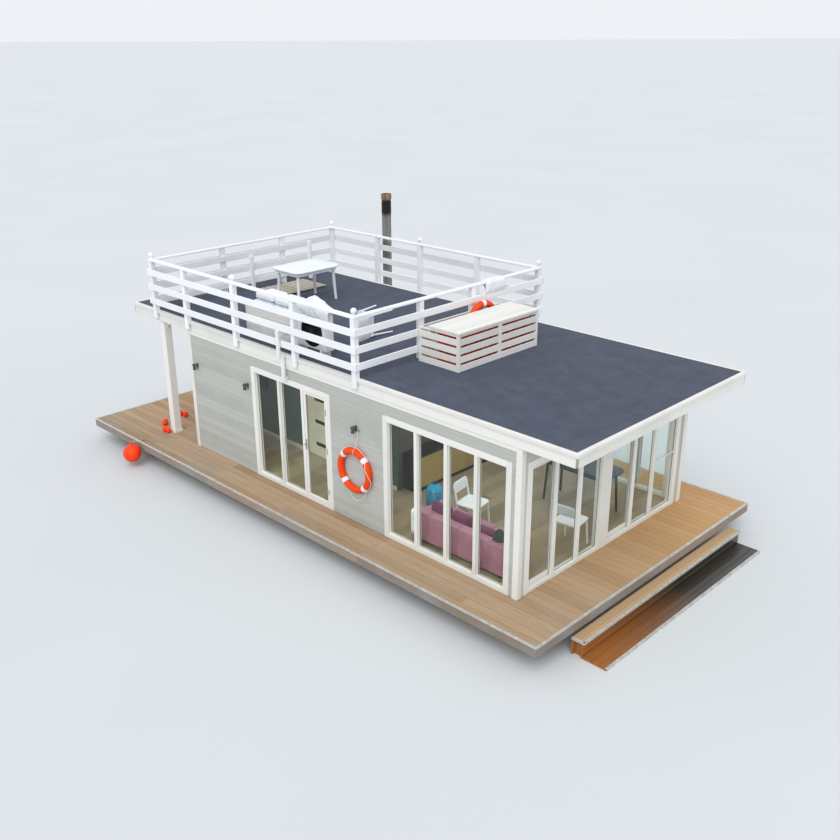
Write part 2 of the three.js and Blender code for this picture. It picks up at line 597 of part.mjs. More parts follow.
// Grab line of the wall lifebuoy. It is made fast at four bands and hangs slack below the ring.
// Each point is an angle on the ring in degrees, a distance from its centre and one out of its plane.
const LINE = { radius: 4.5, points: [
  [-137, 384, 0], [-150, 386, 0], [-170, 388, 0], [170, 388, 0], [150, 386, 0], [135, 384, 0],
  [118, 388, 0], [100, 394, 0], [80, 394, 0], [62, 388, 0], [45, 384, 0],
  [36, 362, -48], [24, 330, -62], [12, 340, -60], [0, 366, -46], [-14, 386, -12], [-30, 386, 0], [-45, 384, 0],
  [-55, 412, 0], [-66, 455, -2], [-77, 490, -4], [-88, 500, -4], [-97, 482, -4], [-104, 440, -2],
  [-112, 402, 0], [-122, 387, 0], [-133, 384, 0],
] };
function grabLine() {
  const [cx, cy, cz] = WALL_RING.centre;
  const route = LINE.points.map(([degrees, out, along]) => {
    const angle = (degrees * Math.PI) / 180;
    return new THREE.Vector3(cx + out * Math.cos(angle), cy + along, cz + out * Math.sin(angle));
  });
  const curve = new THREE.CatmullRomCurve3(route, false, 'centripetal');
  const section = new THREE.Shape().absarc(0, 0, LINE.radius, 0, 2 * Math.PI, false);
  const tube = new THREE.ExtrudeGeometry(section, {
    steps: 80, curveSegments: 8, bevelEnabled: false, extrudePath: curve,
  });
  node('lifebuoy_line', tube, paint(0xe8e6e0, 0.8));
}
grabLine();

// Stove flue that rises outside the port wall on a bracket, with a wider cap.
const FLUE = { x: 3090, y: 2440, radius: 92, collar: 97, cap: 104, elbow: 78 };
function flue() {
  const { x, y, radius, collar, cap, elbow } = FLUE;
  const pieces = [
    rod(radius, 1200, 3830, x, y, 20), rod(collar, 3800, 4040, x, y, 20), rod(radius, 4030, 4090, x, y, 20),
    rod(cap, 4080, 4190, x, y, 20), bar(elbow, [x, CABIN.half + 2, 1350], [x, y, 1350], 16),
    block([x - 20, x + 20], [CABIN.half + GAP, y], [1900, 1930]),
  ];
  node('flue', join(pieces), STEEL);
}
flue();

// Saloon furniture that shows through the glass.
function sofa() {
  const x = [8130, 9890];
  const pieces = [
    block(x, [-1880, -1230], [60, 330]), block(x, [-1880, -1700], [60, 520]),
    block([x[0], x[0] + 150], [-1880, -1230], [60, 480]), block([x[1] - 150, x[1]], [-1880, -1230], [60, 480]),
    block([x[0] + 150, x[1] - 150], [-1705, -1240], [320, 430]),
  ];
  for (let i = 0; i < 3; i += 1) {
    const from = x[0] + 160 + i * 480;
    pieces.push(block([from, from + 470], [-1720, -1540], [415, 720]));
  }
  node('sofa', join(pieces), paint(0xa0677a, 0.9));
}
sofa();
const bottle = [
  [0, 0], [124, 0], [135, 18], [135, 120], [127, 134], [135, 148], [135, 262], [112, 312], [45, 345], [36, 395], [0, 395],
].map(([r, z]) => new THREE.Vector2(r, z));
node('water_bottle', new THREE.LatheGeometry(bottle, 20).rotateX(Math.PI / 2), paint(0x1f8fb8, 0.2), [7530, -800, 12 + GAP]);

// Round fenders that hang at the aft ends of both deck edges.
for (const [side, sign] of [['starboard', -1], ['port', 1]]) {
  const ball = new THREE.SphereGeometry(168, 16, 11).rotateX(Math.PI / 2);
  const stem = rod(16, 150, 250, 0, 0, 8);
  node(`fender_${side}`, join([ball, stem]), ORANGE, [1690, sign * (DECK.width / 2 + 172), -190]);
}

export default boat;
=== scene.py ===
import math

import bpy
import numpy as np
from mathutils import Matrix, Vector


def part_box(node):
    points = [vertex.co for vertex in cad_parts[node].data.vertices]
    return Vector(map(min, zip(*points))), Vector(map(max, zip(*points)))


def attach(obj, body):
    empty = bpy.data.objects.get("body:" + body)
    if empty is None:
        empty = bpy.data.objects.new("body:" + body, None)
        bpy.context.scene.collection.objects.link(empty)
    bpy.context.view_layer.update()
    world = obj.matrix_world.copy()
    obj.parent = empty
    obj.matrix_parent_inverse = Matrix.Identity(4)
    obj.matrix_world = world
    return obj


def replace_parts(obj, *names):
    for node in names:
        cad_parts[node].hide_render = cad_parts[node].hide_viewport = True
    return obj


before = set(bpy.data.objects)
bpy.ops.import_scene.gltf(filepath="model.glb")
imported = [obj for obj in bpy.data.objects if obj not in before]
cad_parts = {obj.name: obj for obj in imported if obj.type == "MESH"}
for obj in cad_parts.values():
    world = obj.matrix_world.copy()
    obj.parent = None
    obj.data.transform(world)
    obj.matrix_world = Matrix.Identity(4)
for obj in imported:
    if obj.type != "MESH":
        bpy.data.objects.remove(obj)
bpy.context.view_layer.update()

# Camera: above and ahead of the starboard bow quarter, as in the photograph. The photograph is square,
# and the lens follows from its focal length in pixels.
FRAME_PIXELS = 840
FOCAL_PIXELS = 960.5
SENSOR = 36.0
CAMERA_PLACE = (11.372, -11.003, 8.128)
CAMERA_TURN, CAMERA_TILT, CAMERA_ROLL = 0.778, -0.3835, -0.0047
camera_data = bpy.data.cameras.new("camera")
camera_data.sensor_width = SENSOR
camera_data.lens = FOCAL_PIXELS * SENSOR / FRAME_PIXELS
camera = bpy.data.objects.new("camera", camera_data)
camera.matrix_world = (
    Matrix.Translation(CAMERA_PLACE)
    @ Matrix.Rotation(CAMERA_TURN, 4, "Z")
    @ Matrix.Rotation(math.pi / 2 + CAMERA_TILT, 4, "X")
    @ Matrix.Rotation(CAMERA_ROLL, 4, "Z")
)
bpy.context.scene.collection.objects.link(camera)
bpy.context.scene.camera = camera
bpy.context.scene.view_settings.view_transform = "Standard"


def linear(code):
    """An sRGB hex colour as linear red, green, blue and alpha."""
    channels = [int(code[i : i + 2], 16) / 255 for i in (1, 3, 5)]
    return [c / 12.92 if c <= 0.04045 else ((c + 0.055) / 1.055) ** 2.4 for c in channels] + [1.0]


def add(tree, kind, sockets=None, **settings):
    """A node of this kind. Each entry of sockets is a value for that input or an output to link to it."""
    node = tree.nodes.new(kind)
    for key, value in settings.items():
        setattr(node, key, value)
    for key, value in (sockets or {}).items():
        if isinstance(value, bpy.types.NodeSocket):
            tree.links.new(value, node.inputs[key])
        else:
            node.inputs[key].default_value = value
    return node


def new_material(name):
    """An empty node material and its tree."""
    material = bpy.data.materials.new(name)
    material.use_nodes = True
    material.node_tree.nodes.clear()
    return material, material.node_tree


def shade(tree, sockets):
    """Ends a tree with a Principled shader that has these sockets."""
    shader = add(tree, "ShaderNodeBsdfPrincipled", sockets)
    add(tree, "ShaderNodeOutputMaterial", {"Surface": shader.outputs[0]})


def object_place(tree):
    """The shaded point's own coordinates in the object."""
    return add(tree, "ShaderNodeTexCoord").outputs["Object"]


def noise(tree, where, scale, detail=2.0, roughness=0.5):
    """A noise texture's factor at these coordinates."""
    sockets = {"Vector": where, "Scale": scale, "Detail": detail, "Roughness": roughness}
    return add(tree, "ShaderNodeTexNoise", sockets).outputs["Fac"]


def blend(tree, share, first, second):
    """The colour that lies share of the way from first to second. Each is a hex colour or an output."""
    ends = [linear(colour) if isinstance(colour, str) else colour for colour in (first, second)]
    return add(tree, "ShaderNodeMix", {0: share, 6: ends[0], 7: ends[1]}, data_type="RGBA").outputs[2]


def mottled(name, colour, shadow, scale, detail, sockets, roughness=0.5):
    """A material whose colour drifts between two in soft patches. sockets are the shader's other ones,
    and scale, detail and roughness are the noise's."""
    material, tree = new_material(name)
    patches = noise(tree, object_place(tree), scale, detail, roughness)
    shade(tree, {"Base Color": blend(tree, patches, colour, shadow), **sockets})
    return material


# Floor and light: a pale matt floor at the waterline, an even pale sky and a broad soft lamp high over
# the starboard bow. A weaker one under the cabin's ceiling opens the shadows inside.
WATERLINE = 0.50
FLOOR_REACH = 1500.0
floor_mesh = bpy.data.meshes.new("floor")
corners = [(-1, -1), (1, -1), (1, 1), (-1, 1)]
floor_mesh.from_pydata([(FLOOR_REACH * x, FLOOR_REACH * y, WATERLINE) for x, y in corners], [],
                       [(0, 1, 2, 3)])
floor = bpy.data.objects.new("floor", floor_mesh)
bpy.context.scene.collection.objects.link(floor)
floor_mesh.materials.append(mottled("studio_floor_paint", "#c9ccce", "#d3d5d6", 0.15, 2.0,
                                    {"Roughness": 0.9}))
sky = bpy.data.worlds.new("studio")
sky.use_nodes = True
sky.node_tree.nodes["Background"].inputs["Color"].default_value = linear("#eef2f7")
sky.node_tree.nodes["Background"].inputs["Strength"].default_value = 1.0
bpy.context.scene.world = sky
lamp_data = bpy.data.lights.new("soft_lamp", "SUN")
lamp_data.energy = 1.5
lamp_data.angle = math.radians(50)
lamp = bpy.data.objects.new("soft_lamp", lamp_data)
lamp.matrix_world = Matrix.Rotation(math.radians(32), 4, "Z") @ Matrix.Rotation(math.radians(42), 4, "X")
bpy.context.scene.collection.objects.link(lamp)
ceiling_data = bpy.data.lights.new("ceiling_lamp", "AREA")
ceiling_data.shape, ceiling_data.size, ceiling_data.size_y, ceiling_data.energy = "RECTANGLE", 7.0, 3.4, 105.0
ceiling_lamp = bpy.data.objects.new("ceiling_lamp", ceiling_data)
ceiling_lamp.matrix_world = Matrix.Translation((0.6, 0, 3.10))
ceiling_lamp.visible_camera = ceiling_lamp.visible_glossy = ceiling_lamp.visible_transmission = False
bpy.context.scene.collection.objects.link(ceiling_lamp)

# Shared measure of the boat: places below are metres forward of the deck's aft edge, to port of its
# middle line and above the top of its planks.
planking_low, planking_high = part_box("deck_planking")
DECK_ORIGIN = np.array([planking_low.x, 0.0, planking_high.z])
DECK_LENGTH = planking_high.x - planking_low.x
DECK_HALF = planking_high.y
chance = np.random.default_rng(11)


def build(name, material, *grids, body="hull", slot="white_paint", sharp=32.0):
    """One mesh of closed skins from grids of points [skin, station, around].

    Between two stations lies a belt of quads that closes on itself, and one face fills each end. A grid
    given as ("ring", points) closes its stations instead. UV runs in metres along and round each skin,
    and the face attribute "skin" is a number from 0 to 1 of each skin's own. A skin of negative volume
    is turned round, so that its faces point out.
    """
    points, loops, starts, uvs, tones = [], [], [], [], []
    vertex_count = loop_count = 0
    for grid in grids:
        ring = isinstance(grid, tuple)
        p = np.array(grid[1] if ring else grid, float)
        skins, stations, around, _ = p.shape
        i = np.arange(stations if ring else stations - 1)
        i_next = (i + 1) % stations
        q = p - p.mean((1, 2), keepdims=True)
        a, b = q[:, i], np.roll(q, -1, 2)[:, i]
        c, d = np.roll(q, -1, 2)[:, i_next], q[:, i_next]
        volume = np.sum(a * np.cross(b, c) + a * np.cross(c, d), (1, 2, 3))
        if not ring:
            for station, way in ((0, -1), (-1, 1)):
                face = q[:, station]
                fan = np.cross(face, np.roll(face, -1, 1)) * face[:, :1]
                volume += way * fan.sum((1, 2))
        p[volume < 0] = p[volume < 0][:, :, ::-1]
        middles = p.mean(2)
        steps = np.linalg.norm(np.roll(middles, -1, 1) - middles, axis=2)
        along = np.concatenate([np.zeros((skins, 1)), np.cumsum(steps, 1)], 1)
        sides = np.linalg.norm(np.roll(p, -1, 2) - p, axis=3)
        widest = sides.sum(2).argmax(1)
        girth = np.concatenate([np.zeros((skins, 1)), np.cumsum(sides[np.arange(skins), widest], 1)], 1)
        base = vertex_count + np.arange(skins)[:, None, None] * stations * around
        j = np.arange(around)
        j_next = (j + 1) % around
        ii, jj = np.meshgrid(i, j, indexing="ij")
        inext, jnext = np.meshgrid(i_next, j_next, indexing="ij")
        quads = np.stack([base + ii * around + jj, base + ii * around + jnext,
                          base + inext * around + jnext, base + inext * around + jj], -1)
        u = np.stack([along[:, ii], along[:, ii], along[:, ii + 1], along[:, ii + 1]], -1)
        v = np.stack([girth[:, jj], girth[:, jj + 1], girth[:, jj + 1], girth[:, jj]], -1)
        tone = chance.random(skins)
        points.append(p.reshape(-1, 3))
        loops.append(quads.reshape(-1))
        uvs.append(np.stack([u, v], -1).reshape(-1, 2))
        quad_count = quads.size // 4
        starts.append(loop_count + 4 * np.arange(quad_count))
        tones.append(np.repeat(tone, quad_count // skins))
        loop_count += quads.size
        if not ring:
            for station, order in ((0, j[::-1]), (stations - 1, j)):
                caps = base[:, 0] + station * around + order
                loops.append(caps.reshape(-1))
                flat = np.stack([np.broadcast_to(along[:, station, None], caps.shape), girth[:, order]], -1)
                uvs.append(flat.reshape(-1, 2))
                starts.append(loop_count + around * np.arange(skins))
                tones.append(tone)
                loop_count += caps.size
        vertex_count += skins * stations * around
    points = np.concatenate(points) + DECK_ORIGIN
    mesh = bpy.data.meshes.new(name)
    mesh.vertices.add(vertex_count)
    mesh.vertices.foreach_set("co", points.ravel())
    mesh.loops.add(loop_count)
    mesh.loops.foreach_set("vertex_index", np.concatenate(loops).astype(np.int32))
    mesh.polygons.add(sum(len(s) for s in starts))
    mesh.polygons.foreach_set("loop_start", np.concatenate(starts).astype(np.int32))
    mesh.update(calc_edges=True)
    mesh.uv_layers.new(name="UVMap").data.foreach_set("uv", np.concatenate(uvs).ravel())
    mesh.attributes.new("skin", "FLOAT", "FACE").data.foreach_set("value", np.concatenate(tones))
    mesh.shade_smooth()
    mesh.set_sharp_from_angle(angle=math.radians(sharp))
    mesh.materials.append(material)
    piece = bpy.data.objects.new(name, mesh)
    bpy.context.scene.collection.objects.link(piece)
    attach(piece, body)
    return piece


def bump(tree, height, strength, distance):
    """A bump's normal. distance is how high a height of one stands, in metres."""
    return add(tree, "ShaderNodeBump", {"Strength": strength, "Distance": distance,
                                        "Height": height}).outputs[0]


def smooth_route(points, steps):
    """Catmull-Rom curve through the points: on each span the cubic whose slope at a point is half the
    way between that point's neighbours, in so many equal steps."""
    p = np.asarray(points, float)
    p = np.concatenate([[2 * p[0] - p[1]], p, [2 * p[-1] - p[-2]]])
    t = (np.arange(steps) / steps)[None, :, None]
    a, b, c, d = (p[k : len(p) - 3 + k, None] for k in range(4))
    spans = 0.5 * (2 * b + (c - a) * t + (2 * a - 5 * b + 4 * c - d) * t**2 + (3 * b - a - 3 * c + d) * t**3)
    return np.concatenate([spans.reshape(-1, 3), p[-2:-1]])


def tubes(paths, radius, sides=12):
    """Round skins along paths [tube, station, xyz]: circles square to the path, turned about the side of
    the flattest plane through it. radius is one number or one for each station."""
    paths = np.asarray(paths, float)
    ahead = np.gradient(paths, axis=1)
    ahead /= np.linalg.norm(ahead, axis=2, keepdims=True)
    across = np.linalg.svd(paths - paths.mean(1, keepdims=True))[2][:, 2][:, None]
    side = np.cross(ahead, across)
    side /= np.linalg.norm(side, axis=2, keepdims=True)
    up = np.cross(side, ahead)
    angle = np.linspace(0, 2 * math.pi, sides, endpoint=False)[:, None]
    radius = np.broadcast_to(radius, paths.shape[1])[None, :, None, None]
    return paths[:, :, None] + radius * (np.cos(angle) * side[:, :, None] + np.sin(angle) * up[:, :, None])


def bent(points, steps, radius, sides):
    """One round rod or cord along the smooth curve through the points."""
    return tubes([smooth_route(points, steps)], radius, sides)


# Grab line of the wall lifebuoy: white braided polyester, 9 mm thick. It is made fast at the ring's
# four bands, lies round the ring and hangs slack below it.
RING_MIDDLE = np.array([7.120, -2.152, 0.930])
LINE_THICK = 0.009
LINE_ROUTE = [  # degrees on the ring, metres from its centre, metres out of its plane
    (-137, 0.384, 0.0), (-150, 0.386, 0.0), (-170, 0.388, 0.0), (170, 0.388, 0.0), (150, 0.386, 0.0),
    (135, 0.384, 0.0), (118, 0.388, 0.0), (100, 0.394, 0.0), (80, 0.394, 0.0), (62, 0.388, 0.0),
    (45, 0.384, 0.0), (36, 0.362, -0.048), (24, 0.330, -0.062), (12, 0.340, -0.060), (0, 0.366, -0.046),
    (-14, 0.386, -0.012), (-30, 0.386, 0.0), (-45, 0.384, 0.0), (-55, 0.412, 0.0), (-66, 0.455, -0.002),
    (-77, 0.490, -0.004), (-88, 0.500, -0.004), (-97, 0.482, -0.004), (-104, 0.440, -0.002),
    (-112, 0.402, 0.0), (-122, 0.387, 0.0), (-133, 0.384, 0.0),
]
degrees, out, along = np.array(LINE_ROUTE).T
angle = np.radians(degrees)
route = RING_MIDDLE + np.stack([out * np.cos(angle), along, out * np.sin(angle)], 1)
line_path = smooth_route(route, 8)
# Braided polyester: matt, with short slanted strands that cross every few millimetres.
white_rope, tree = new_material("braided_white_polyester")
uv = add(tree, "ShaderNodeUVMap").outputs[0]
STRAND = 0.004
strands = []
for slant in (0.7, -0.7):
    turned_uv = add(tree, "ShaderNodeMapping", {"Vector": uv, "Rotation": (0, 0, slant),
                                                "Scale": (1 / STRAND,) * 3})
    strands.append(add(tree, "ShaderNodeTexWave", {"Vector": turned_uv.outputs[0],
                                                   "Scale": 0.35}).outputs["Fac"])
weave = add(tree, "ShaderNodeMath", {0: strands[0], 1: strands[1]}, operation="MAXIMUM").outputs[0]
tint = blend(tree, weave, "#b9b6ac", "#f1f0ea")
shade(tree, {"Base Color": tint, "Roughness": 0.8, "Normal": bump(tree, weave, 0.6, 0.001)})
grab_line = build("grab_line", white_rope, tubes([line_path], LINE_THICK / 2), slot="white_rope", sharp=80)
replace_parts(grab_line, "lifebuoy_line")


def boards(x, y, z, edge=0.004):
    """Planed boards. x, y and z are (from, to) pairs of numbers or arrays, one entry for each board. A
    rectangle with its corners cut at 45 degrees is carried along each board's longest side and drawn
    in by the same cut at both ends."""
    ends = np.stack([np.ravel(e) for e in np.broadcast_arrays(x[0], x[1], y[0], y[1], z[0], z[1])],
                    1).astype(float)
    low, high = ends[:, ::2], ends[:, 1::2]
    size, middle = high - low, (low + high) / 2
    long_axis = size.argmax(1)
    order = (long_axis[:, None] + np.arange(3)) % 3
    length, wide, tall = np.take_along_axis(size, order, 1).T / 2
    cut = np.minimum(edge, 0.4 * np.minimum(wide, tall))[:, None, None]
    inset = cut * np.array([1, 0, 0, 1])[None, :, None]
    signs = np.array([[1, 1, -1, -1, -1, -1, 1, 1], [1, 1, 1, 1, -1, -1, -1, -1]])
    cuts = np.array([[0, 1, 1, 0, 0, 1, 1, 0], [1, 0, 0, 1, 1, 0, 0, 1]])
    a = signs[0] * (wide[:, None, None] - inset - cut * cuts[0])
    b = signs[1] * (tall[:, None, None] - inset - cut * cuts[1])
    station = np.array([-1, -1, 1, 1])[None, :, None] * (length[:, None, None] - cut + inset)
    local = np.stack([np.broadcast_to(station, a.shape), a, b], -1)
    grid = np.empty_like(local)
    np.put_along_axis(grid, np.broadcast_to(order[:, None, None], local.shape), local, 3)
    return grid + middle[:, None, None]


def mitred(u, v, profile, axes=(0, 2, 1)):
    """Mitred frames. The profile's points are (in from the outer edge, place on the axis square to the
    frame). Each corner of the rectangle u by v carries them along its bisector. axes are those of u,
    of v and of the axis square to them."""
    ends = np.stack([np.ravel(e) for e in np.broadcast_arrays(u[0], u[1], v[0], v[1])], 1).astype(float)
    inward, depth = np.array(profile, float).T
    halves = (ends[:, 1::2] - ends[:, ::2]) / 2
    middles = (ends[:, 1::2] + ends[:, ::2]) / 2
    ways = np.array([[-1, -1], [1, -1], [1, 1], [-1, 1]])
    reach = halves[:, None, None] - inward[None, None, :, None]
    flat = middles[:, None, None] + ways[None, :, None] * reach
    grid = np.empty(flat.shape[:3] + (3,))
    grid[..., axes[0]], grid[..., axes[1]] = flat[..., 0], flat[..., 1]
    grid[..., axes[2]] = depth
    return "ring", grid


def turned(profile, places, sides, axis=2):
    """Turned pieces. A profile of (radius, height) points goes round the axis through each place."""
    radius, height = np.array(profile, float).T[:, :, None]
    angle = np.linspace(0, 2 * math.pi, sides, endpoint=False)
    local = np.stack([radius * np.cos(angle), radius * np.sin(angle), height + 0 * angle], -1)
    return np.roll(local, axis - 2, 2)[None] + np.array(places, float)[:, None, None]


def ramp(tree, value, start=0.0, stop=1.0, low=0.0, high=1.0):
    """The value's range from start to stop, carried over to the range from low to high."""
    sockets = {"Value": value, "From Min": start, "From Max": stop, "To Min": low, "To Max": high}
    return add(tree, "ShaderNodeMapRange", sockets).outputs[0]


def times(tree, a, b):
    """The product of two values."""
    return add(tree, "ShaderNodeMath", {0: a, 1: b}, operation="MULTIPLY").outputs[0]


def smudged(name, colour, scale, detail, low, high, metallic=0.0):
    """A material of one colour whose roughness runs from low to high in smudges."""
    material, tree = new_material(name)
    smudge = noise(tree, object_place(tree), scale, detail)
    shine = ramp(tree, smudge, low=low, high=high)
    shade(tree, {"Base Color": linear(colour), "Metallic": metallic, "Roughness": shine})
    return material


def timber(name, pale, dark, grey, grain, roughness, patch, port=None):
    """Sawn or planed timber. Grain streaks, 12 mm wide and finer, run along each board's U. One board
    differs from the next by its skin number, and greyed patches about 0.8 m across lie over them. port is
    a colour that the timber turns towards across to the port side."""
    material, tree = new_material(name)
    uv = add(tree, "ShaderNodeUVMap").outputs[0]
    where = object_place(tree)
    skin = add(tree, "ShaderNodeAttribute", attribute_name="skin").outputs["Fac"]
    shift = times(tree, skin, 57.0)
    long = add(tree, "ShaderNodeMapping", {"Vector": uv, "Scale": (1.6, 1 / 0.012, 1)}).outputs[0]
    fibre = add(tree, "ShaderNodeTexNoise", {"Vector": long, "W": shift, "Scale": 1.0, "Detail": 6.0,
                                             "Roughness": 0.65}, noise_dimensions="4D").outputs["Fac"]
    contrast = ramp(tree, fibre, 0.32, 0.68)
    tone = blend(tree, skin, pale, dark)
    streak = blend(tree, times(tree, contrast, grain), tone, dark)
    cover = ramp(tree, noise(tree, where, 1.3, 4.0), 0.4, 0.75, high=patch)
    worn = blend(tree, cover, streak, grey)
    if port:
        to_port = add(tree, "ShaderNodeSeparateXYZ", {0: where}).outputs["Y"]
        worn = blend(tree, ramp(tree, to_port, -2.6, 1.6, high=0.6), worn, port)
    rough = ramp(tree, contrast, low=roughness - 0.08, high=roughness + 0.1)
    shade(tree, {"Base Color": worn, "Roughness": rough, "Normal": bump(tree, fibre, 0.35, 0.002)})
    return material


# Pontoons: two welded steel boxes with raked ends, flat bottoms and rounded chines. A half-round
# rubbing strake runs along each outer side, and flat bars stiffen the ends and outer sides.
PONTOON_X = (0.350, 10.850)
PONTOON_Y = (0.800, 2.300)
PONTOON_Z = (-0.950, -0.1523)
RAKE_LENGTH, RAKE_RISE = 0.700, 0.380
CHINE = 0.035
# Black bitumen paint on steel: dull, with brown slime and rust where the water laps.
hull_black, tree = new_material("black_bitumen_on_steel")
where = object_place(tree)
height = add(tree, "ShaderNodeSeparateXYZ", {0: where}).outputs["Z"]
lap = ramp(tree, height, 0.42, 0.62, 1.0, 0.0)
scum = noise(tree, where, 9.0, 6.0, 0.7)
growth = times(tree, lap, scum)
steel = blend(tree, growth, "#1f2426", "#57523c")
dents = bump(tree, scum, 0.4, 0.004)
shade(tree, {"Base Color": steel, "Roughness": 0.62, "Normal": dents})


def pontoon(side):
    """Rounded rectangles square to X. The bottom rises in a straight line over the rake at each end."""
    x0, x1 = PONTOON_X
    reach = x1 - x0
    s = np.array([0, 0.012, 0.03, RAKE_LENGTH * 0.5, RAKE_LENGTH - 0.02, RAKE_LENGTH + 0.03])
    x = np.concatenate([s, np.linspace(1.5, reach - 1.5, 8), (reach - s)[::-1]])
    from_end = np.minimum(x, reach - x)
    draw_in = np.clip(0.012 - from_end, 0, 1)
    bottom = PONTOON_Z[0] + draw_in + RAKE_RISE * np.clip(1 - from_end / RAKE_LENGTH, 0, 1)
    quarter = np.linspace(0, math.pi / 2, 5)
    turn = np.concatenate([quarter + k * math.pi / 2 for k in range(4)])
    corner_y = np.repeat([1, -1, -1, 1], 5)
    corner_z = np.repeat([1, 1, -1, -1], 5)
    half = (PONTOON_Y[1] - PONTOON_Y[0]) / 2 - CHINE
    y = side * (sum(PONTOON_Y) / 2) + corner_y * (half - draw_in[:, None]) + CHINE * np.cos(turn)
    middle = (PONTOON_Z[1] + bottom) / 2
    tall = (PONTOON_Z[1] - bottom) / 2 - CHINE
    z = middle[:, None] + corner_z * (tall[:, None] - draw_in[:, None] / 2) + CHINE * np.sin(turn)
    return np.stack([np.broadcast_to((x0 + x)[:, None], y.shape), y, z], -1)[None]


for side, word in ((-1, "starboard"), (1, "port")):
    wall = side * PONTOON_Y[1]
    strake = tubes([np.stack([np.linspace(0.45, 10.75, 12), np.full(12, wall), np.full(12, -0.40)], 1)],
                   0.028, 10)
    end_bars = boards((np.array([0.338, 10.850]), np.array([0.350, 10.862])),
                      (side * 1.55 - 0.72, side * 1.55 + 0.72), (-0.34, -0.26), 0.003)
    rib_x = np.arange(1.4, 10.4, 1.2)
    ribs = boards((rib_x, rib_x + 0.012),
                  (wall - 0.02 * side - 0.008, wall + 0.01 * side + 0.008), (-0.90, -0.20), 0.002)
    tank = build(f"pontoon_{word}_shell", hull_black, pontoon(side), strake, end_bars, ribs,
                 slot="hull_paint", sharp=40)
    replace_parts(tank, f"pontoon_{word}")

# Deck frame: sawn rim boards round the deck in three lengths a side, and joists across it at 560 mm
# that sit on the pontoons. Years of spray have left the boards grey and speckled.
RIM_Z = (-0.152, -0.0283)
RIM_THICK = 0.045
rim_timber = timber("sawn_softwood_grey", "#b3977c", "#7d7063", "#8d8d8a", grain=0.8, roughness=0.85,
                    patch=1.0)
joist_x = np.linspace(0, DECK_LENGTH, 21)[1:-1]
side_breaks = np.array([0.0, 3.92, 7.84, DECK_LENGTH])
end_breaks = np.array([-DECK_HALF + RIM_THICK, 0.12, DECK_HALF - RIM_THICK])
rims = [boards((side_breaks[:-1] + 0.001, side_breaks[1:] - 0.001), (y, y + RIM_THICK), RIM_Z)
        for y in (-DECK_HALF, DECK_HALF - RIM_THICK)]
rims += [boards((x, x + RIM_THICK), (end_breaks[:-1] + 0.001, end_breaks[1:] - 0.001), RIM_Z)
         for x in (0, DECK_LENGTH - RIM_THICK)]
joists = boards((joist_x - 0.032, joist_x + 0.032), (-DECK_HALF + RIM_THICK, DECK_HALF - RIM_THICK),
                (-0.148, -0.030))
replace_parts(build("deck_timbers", rim_timber, *rims, joists, slot="grey_timber"), "deck_frame")

# Deck planks: larch, 134 by 28 mm, laid fore and aft with 6 mm gaps. Their butt joints are staggered
# over the joists, and two stainless screws hold each plank at every joist.
PLANK_PITCH = 2 * DECK_HALF / 40
PLANK_GAP = 0.006
larch = timber("weathered_larch", "#bda284", "#917659", "#a19688", grain=0.75, roughness=0.72, patch=0.5,
               port="#d09d60")
row_y = -DECK_HALF + PLANK_PITCH * (np.arange(40) + 0.5)
plank_rows = []
for first, breaks in ((0, (0.0, 3.92, 7.84, DECK_LENGTH)), (1, (0.0, 1.96, 5.88, 9.80, DECK_LENGTH))):
    cuts = np.array(breaks)
    x_from, y_mid = np.meshgrid(cuts[:-1] + 0.0015, row_y[first::2])
    x_to = np.meshgrid(cuts[1:] - 0.0015, row_y[first::2])[0]
    half = (PLANK_PITCH - PLANK_GAP) / 2
    plank_rows.append(boards((x_from, x_to), (y_mid - half, y_mid + half), (-0.028, 0.0), 0.003))
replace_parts(build("deck_planks", larch, *plank_rows, slot="larch"), "deck_planking")
# Stainless countersunk heads, brushed by feet and dulled by weather.
dull_steel = smudged("dull_stainless_steel", "#b4b2ac", 60.0, 4.0, 0.28, 0.5, metallic=1.0)
screw_x, screw_y = np.meshgrid(joist_x, np.concatenate([row_y - 0.042, row_y + 0.042]))
outside_cabin = (screw_x < 2.60) | (screw_x > 10.35) | (abs(screw_y) > 2.13)
places = np.stack([screw_x[outside_cabin], screw_y[outside_cabin], np.zeros(outside_cabin.sum())], 1)
screw_head = [(0.0045, -0.001), (0.0042, 0.0006), (0.0015, 0.0009)]
build("deck_screws", dull_steel, turned(screw_head, places, 6), slot="stainless_steel")
# Pale aluminium angle that caps the planks' outer edges all the way round.
pale_aluminium, tree = new_material("weathered_pale_aluminium")
where = object_place(tree)
grime = noise(tree, where, 14.0, 6.0, 0.7)
chalk = ramp(tree, grime, 0.35, 0.7)
hue = blend(tree, chalk, "#d4d3cf", "#a9a69f")
shade(tree, {"Base Color": hue, "Metallic": 0.35, "Roughness": 0.55})
edge_profile = [(-0.003, -0.016), (-0.003, 0.003), (0.030, 0.003), (0.030, 0.0002), (-0.0003, 0.0002),
                (-0.0003, -0.016)]
edge_angle = mitred((0, DECK_LENGTH), (-DECK_HALF, DECK_HALF), edge_profile, (0, 1, 2))
build("deck_edge_angle", pale_aluminium, edge_angle, slot="grey_timber")

# Bathing steps: hardwood treads and riser on hardwood cheeks, each tread with a pale metal nosing. The
# upper tread is dry and pale. The rest is wet, orange to starboard and dark brown to port.
STEP_Y = (-2.040, 2.190)
UPPER_X, LOWER_X = (11.2003, 11.410), (11.380, 11.770)
UPPER_Z, LOWER_Z, BOARD = -0.200, -0.420, 0.040
dry_hardwood = timber("dry_hardwood_tread", "#c3a37b", "#b08d66", "#b3a088", grain=0.4, roughness=0.6,
                      patch=0.4)
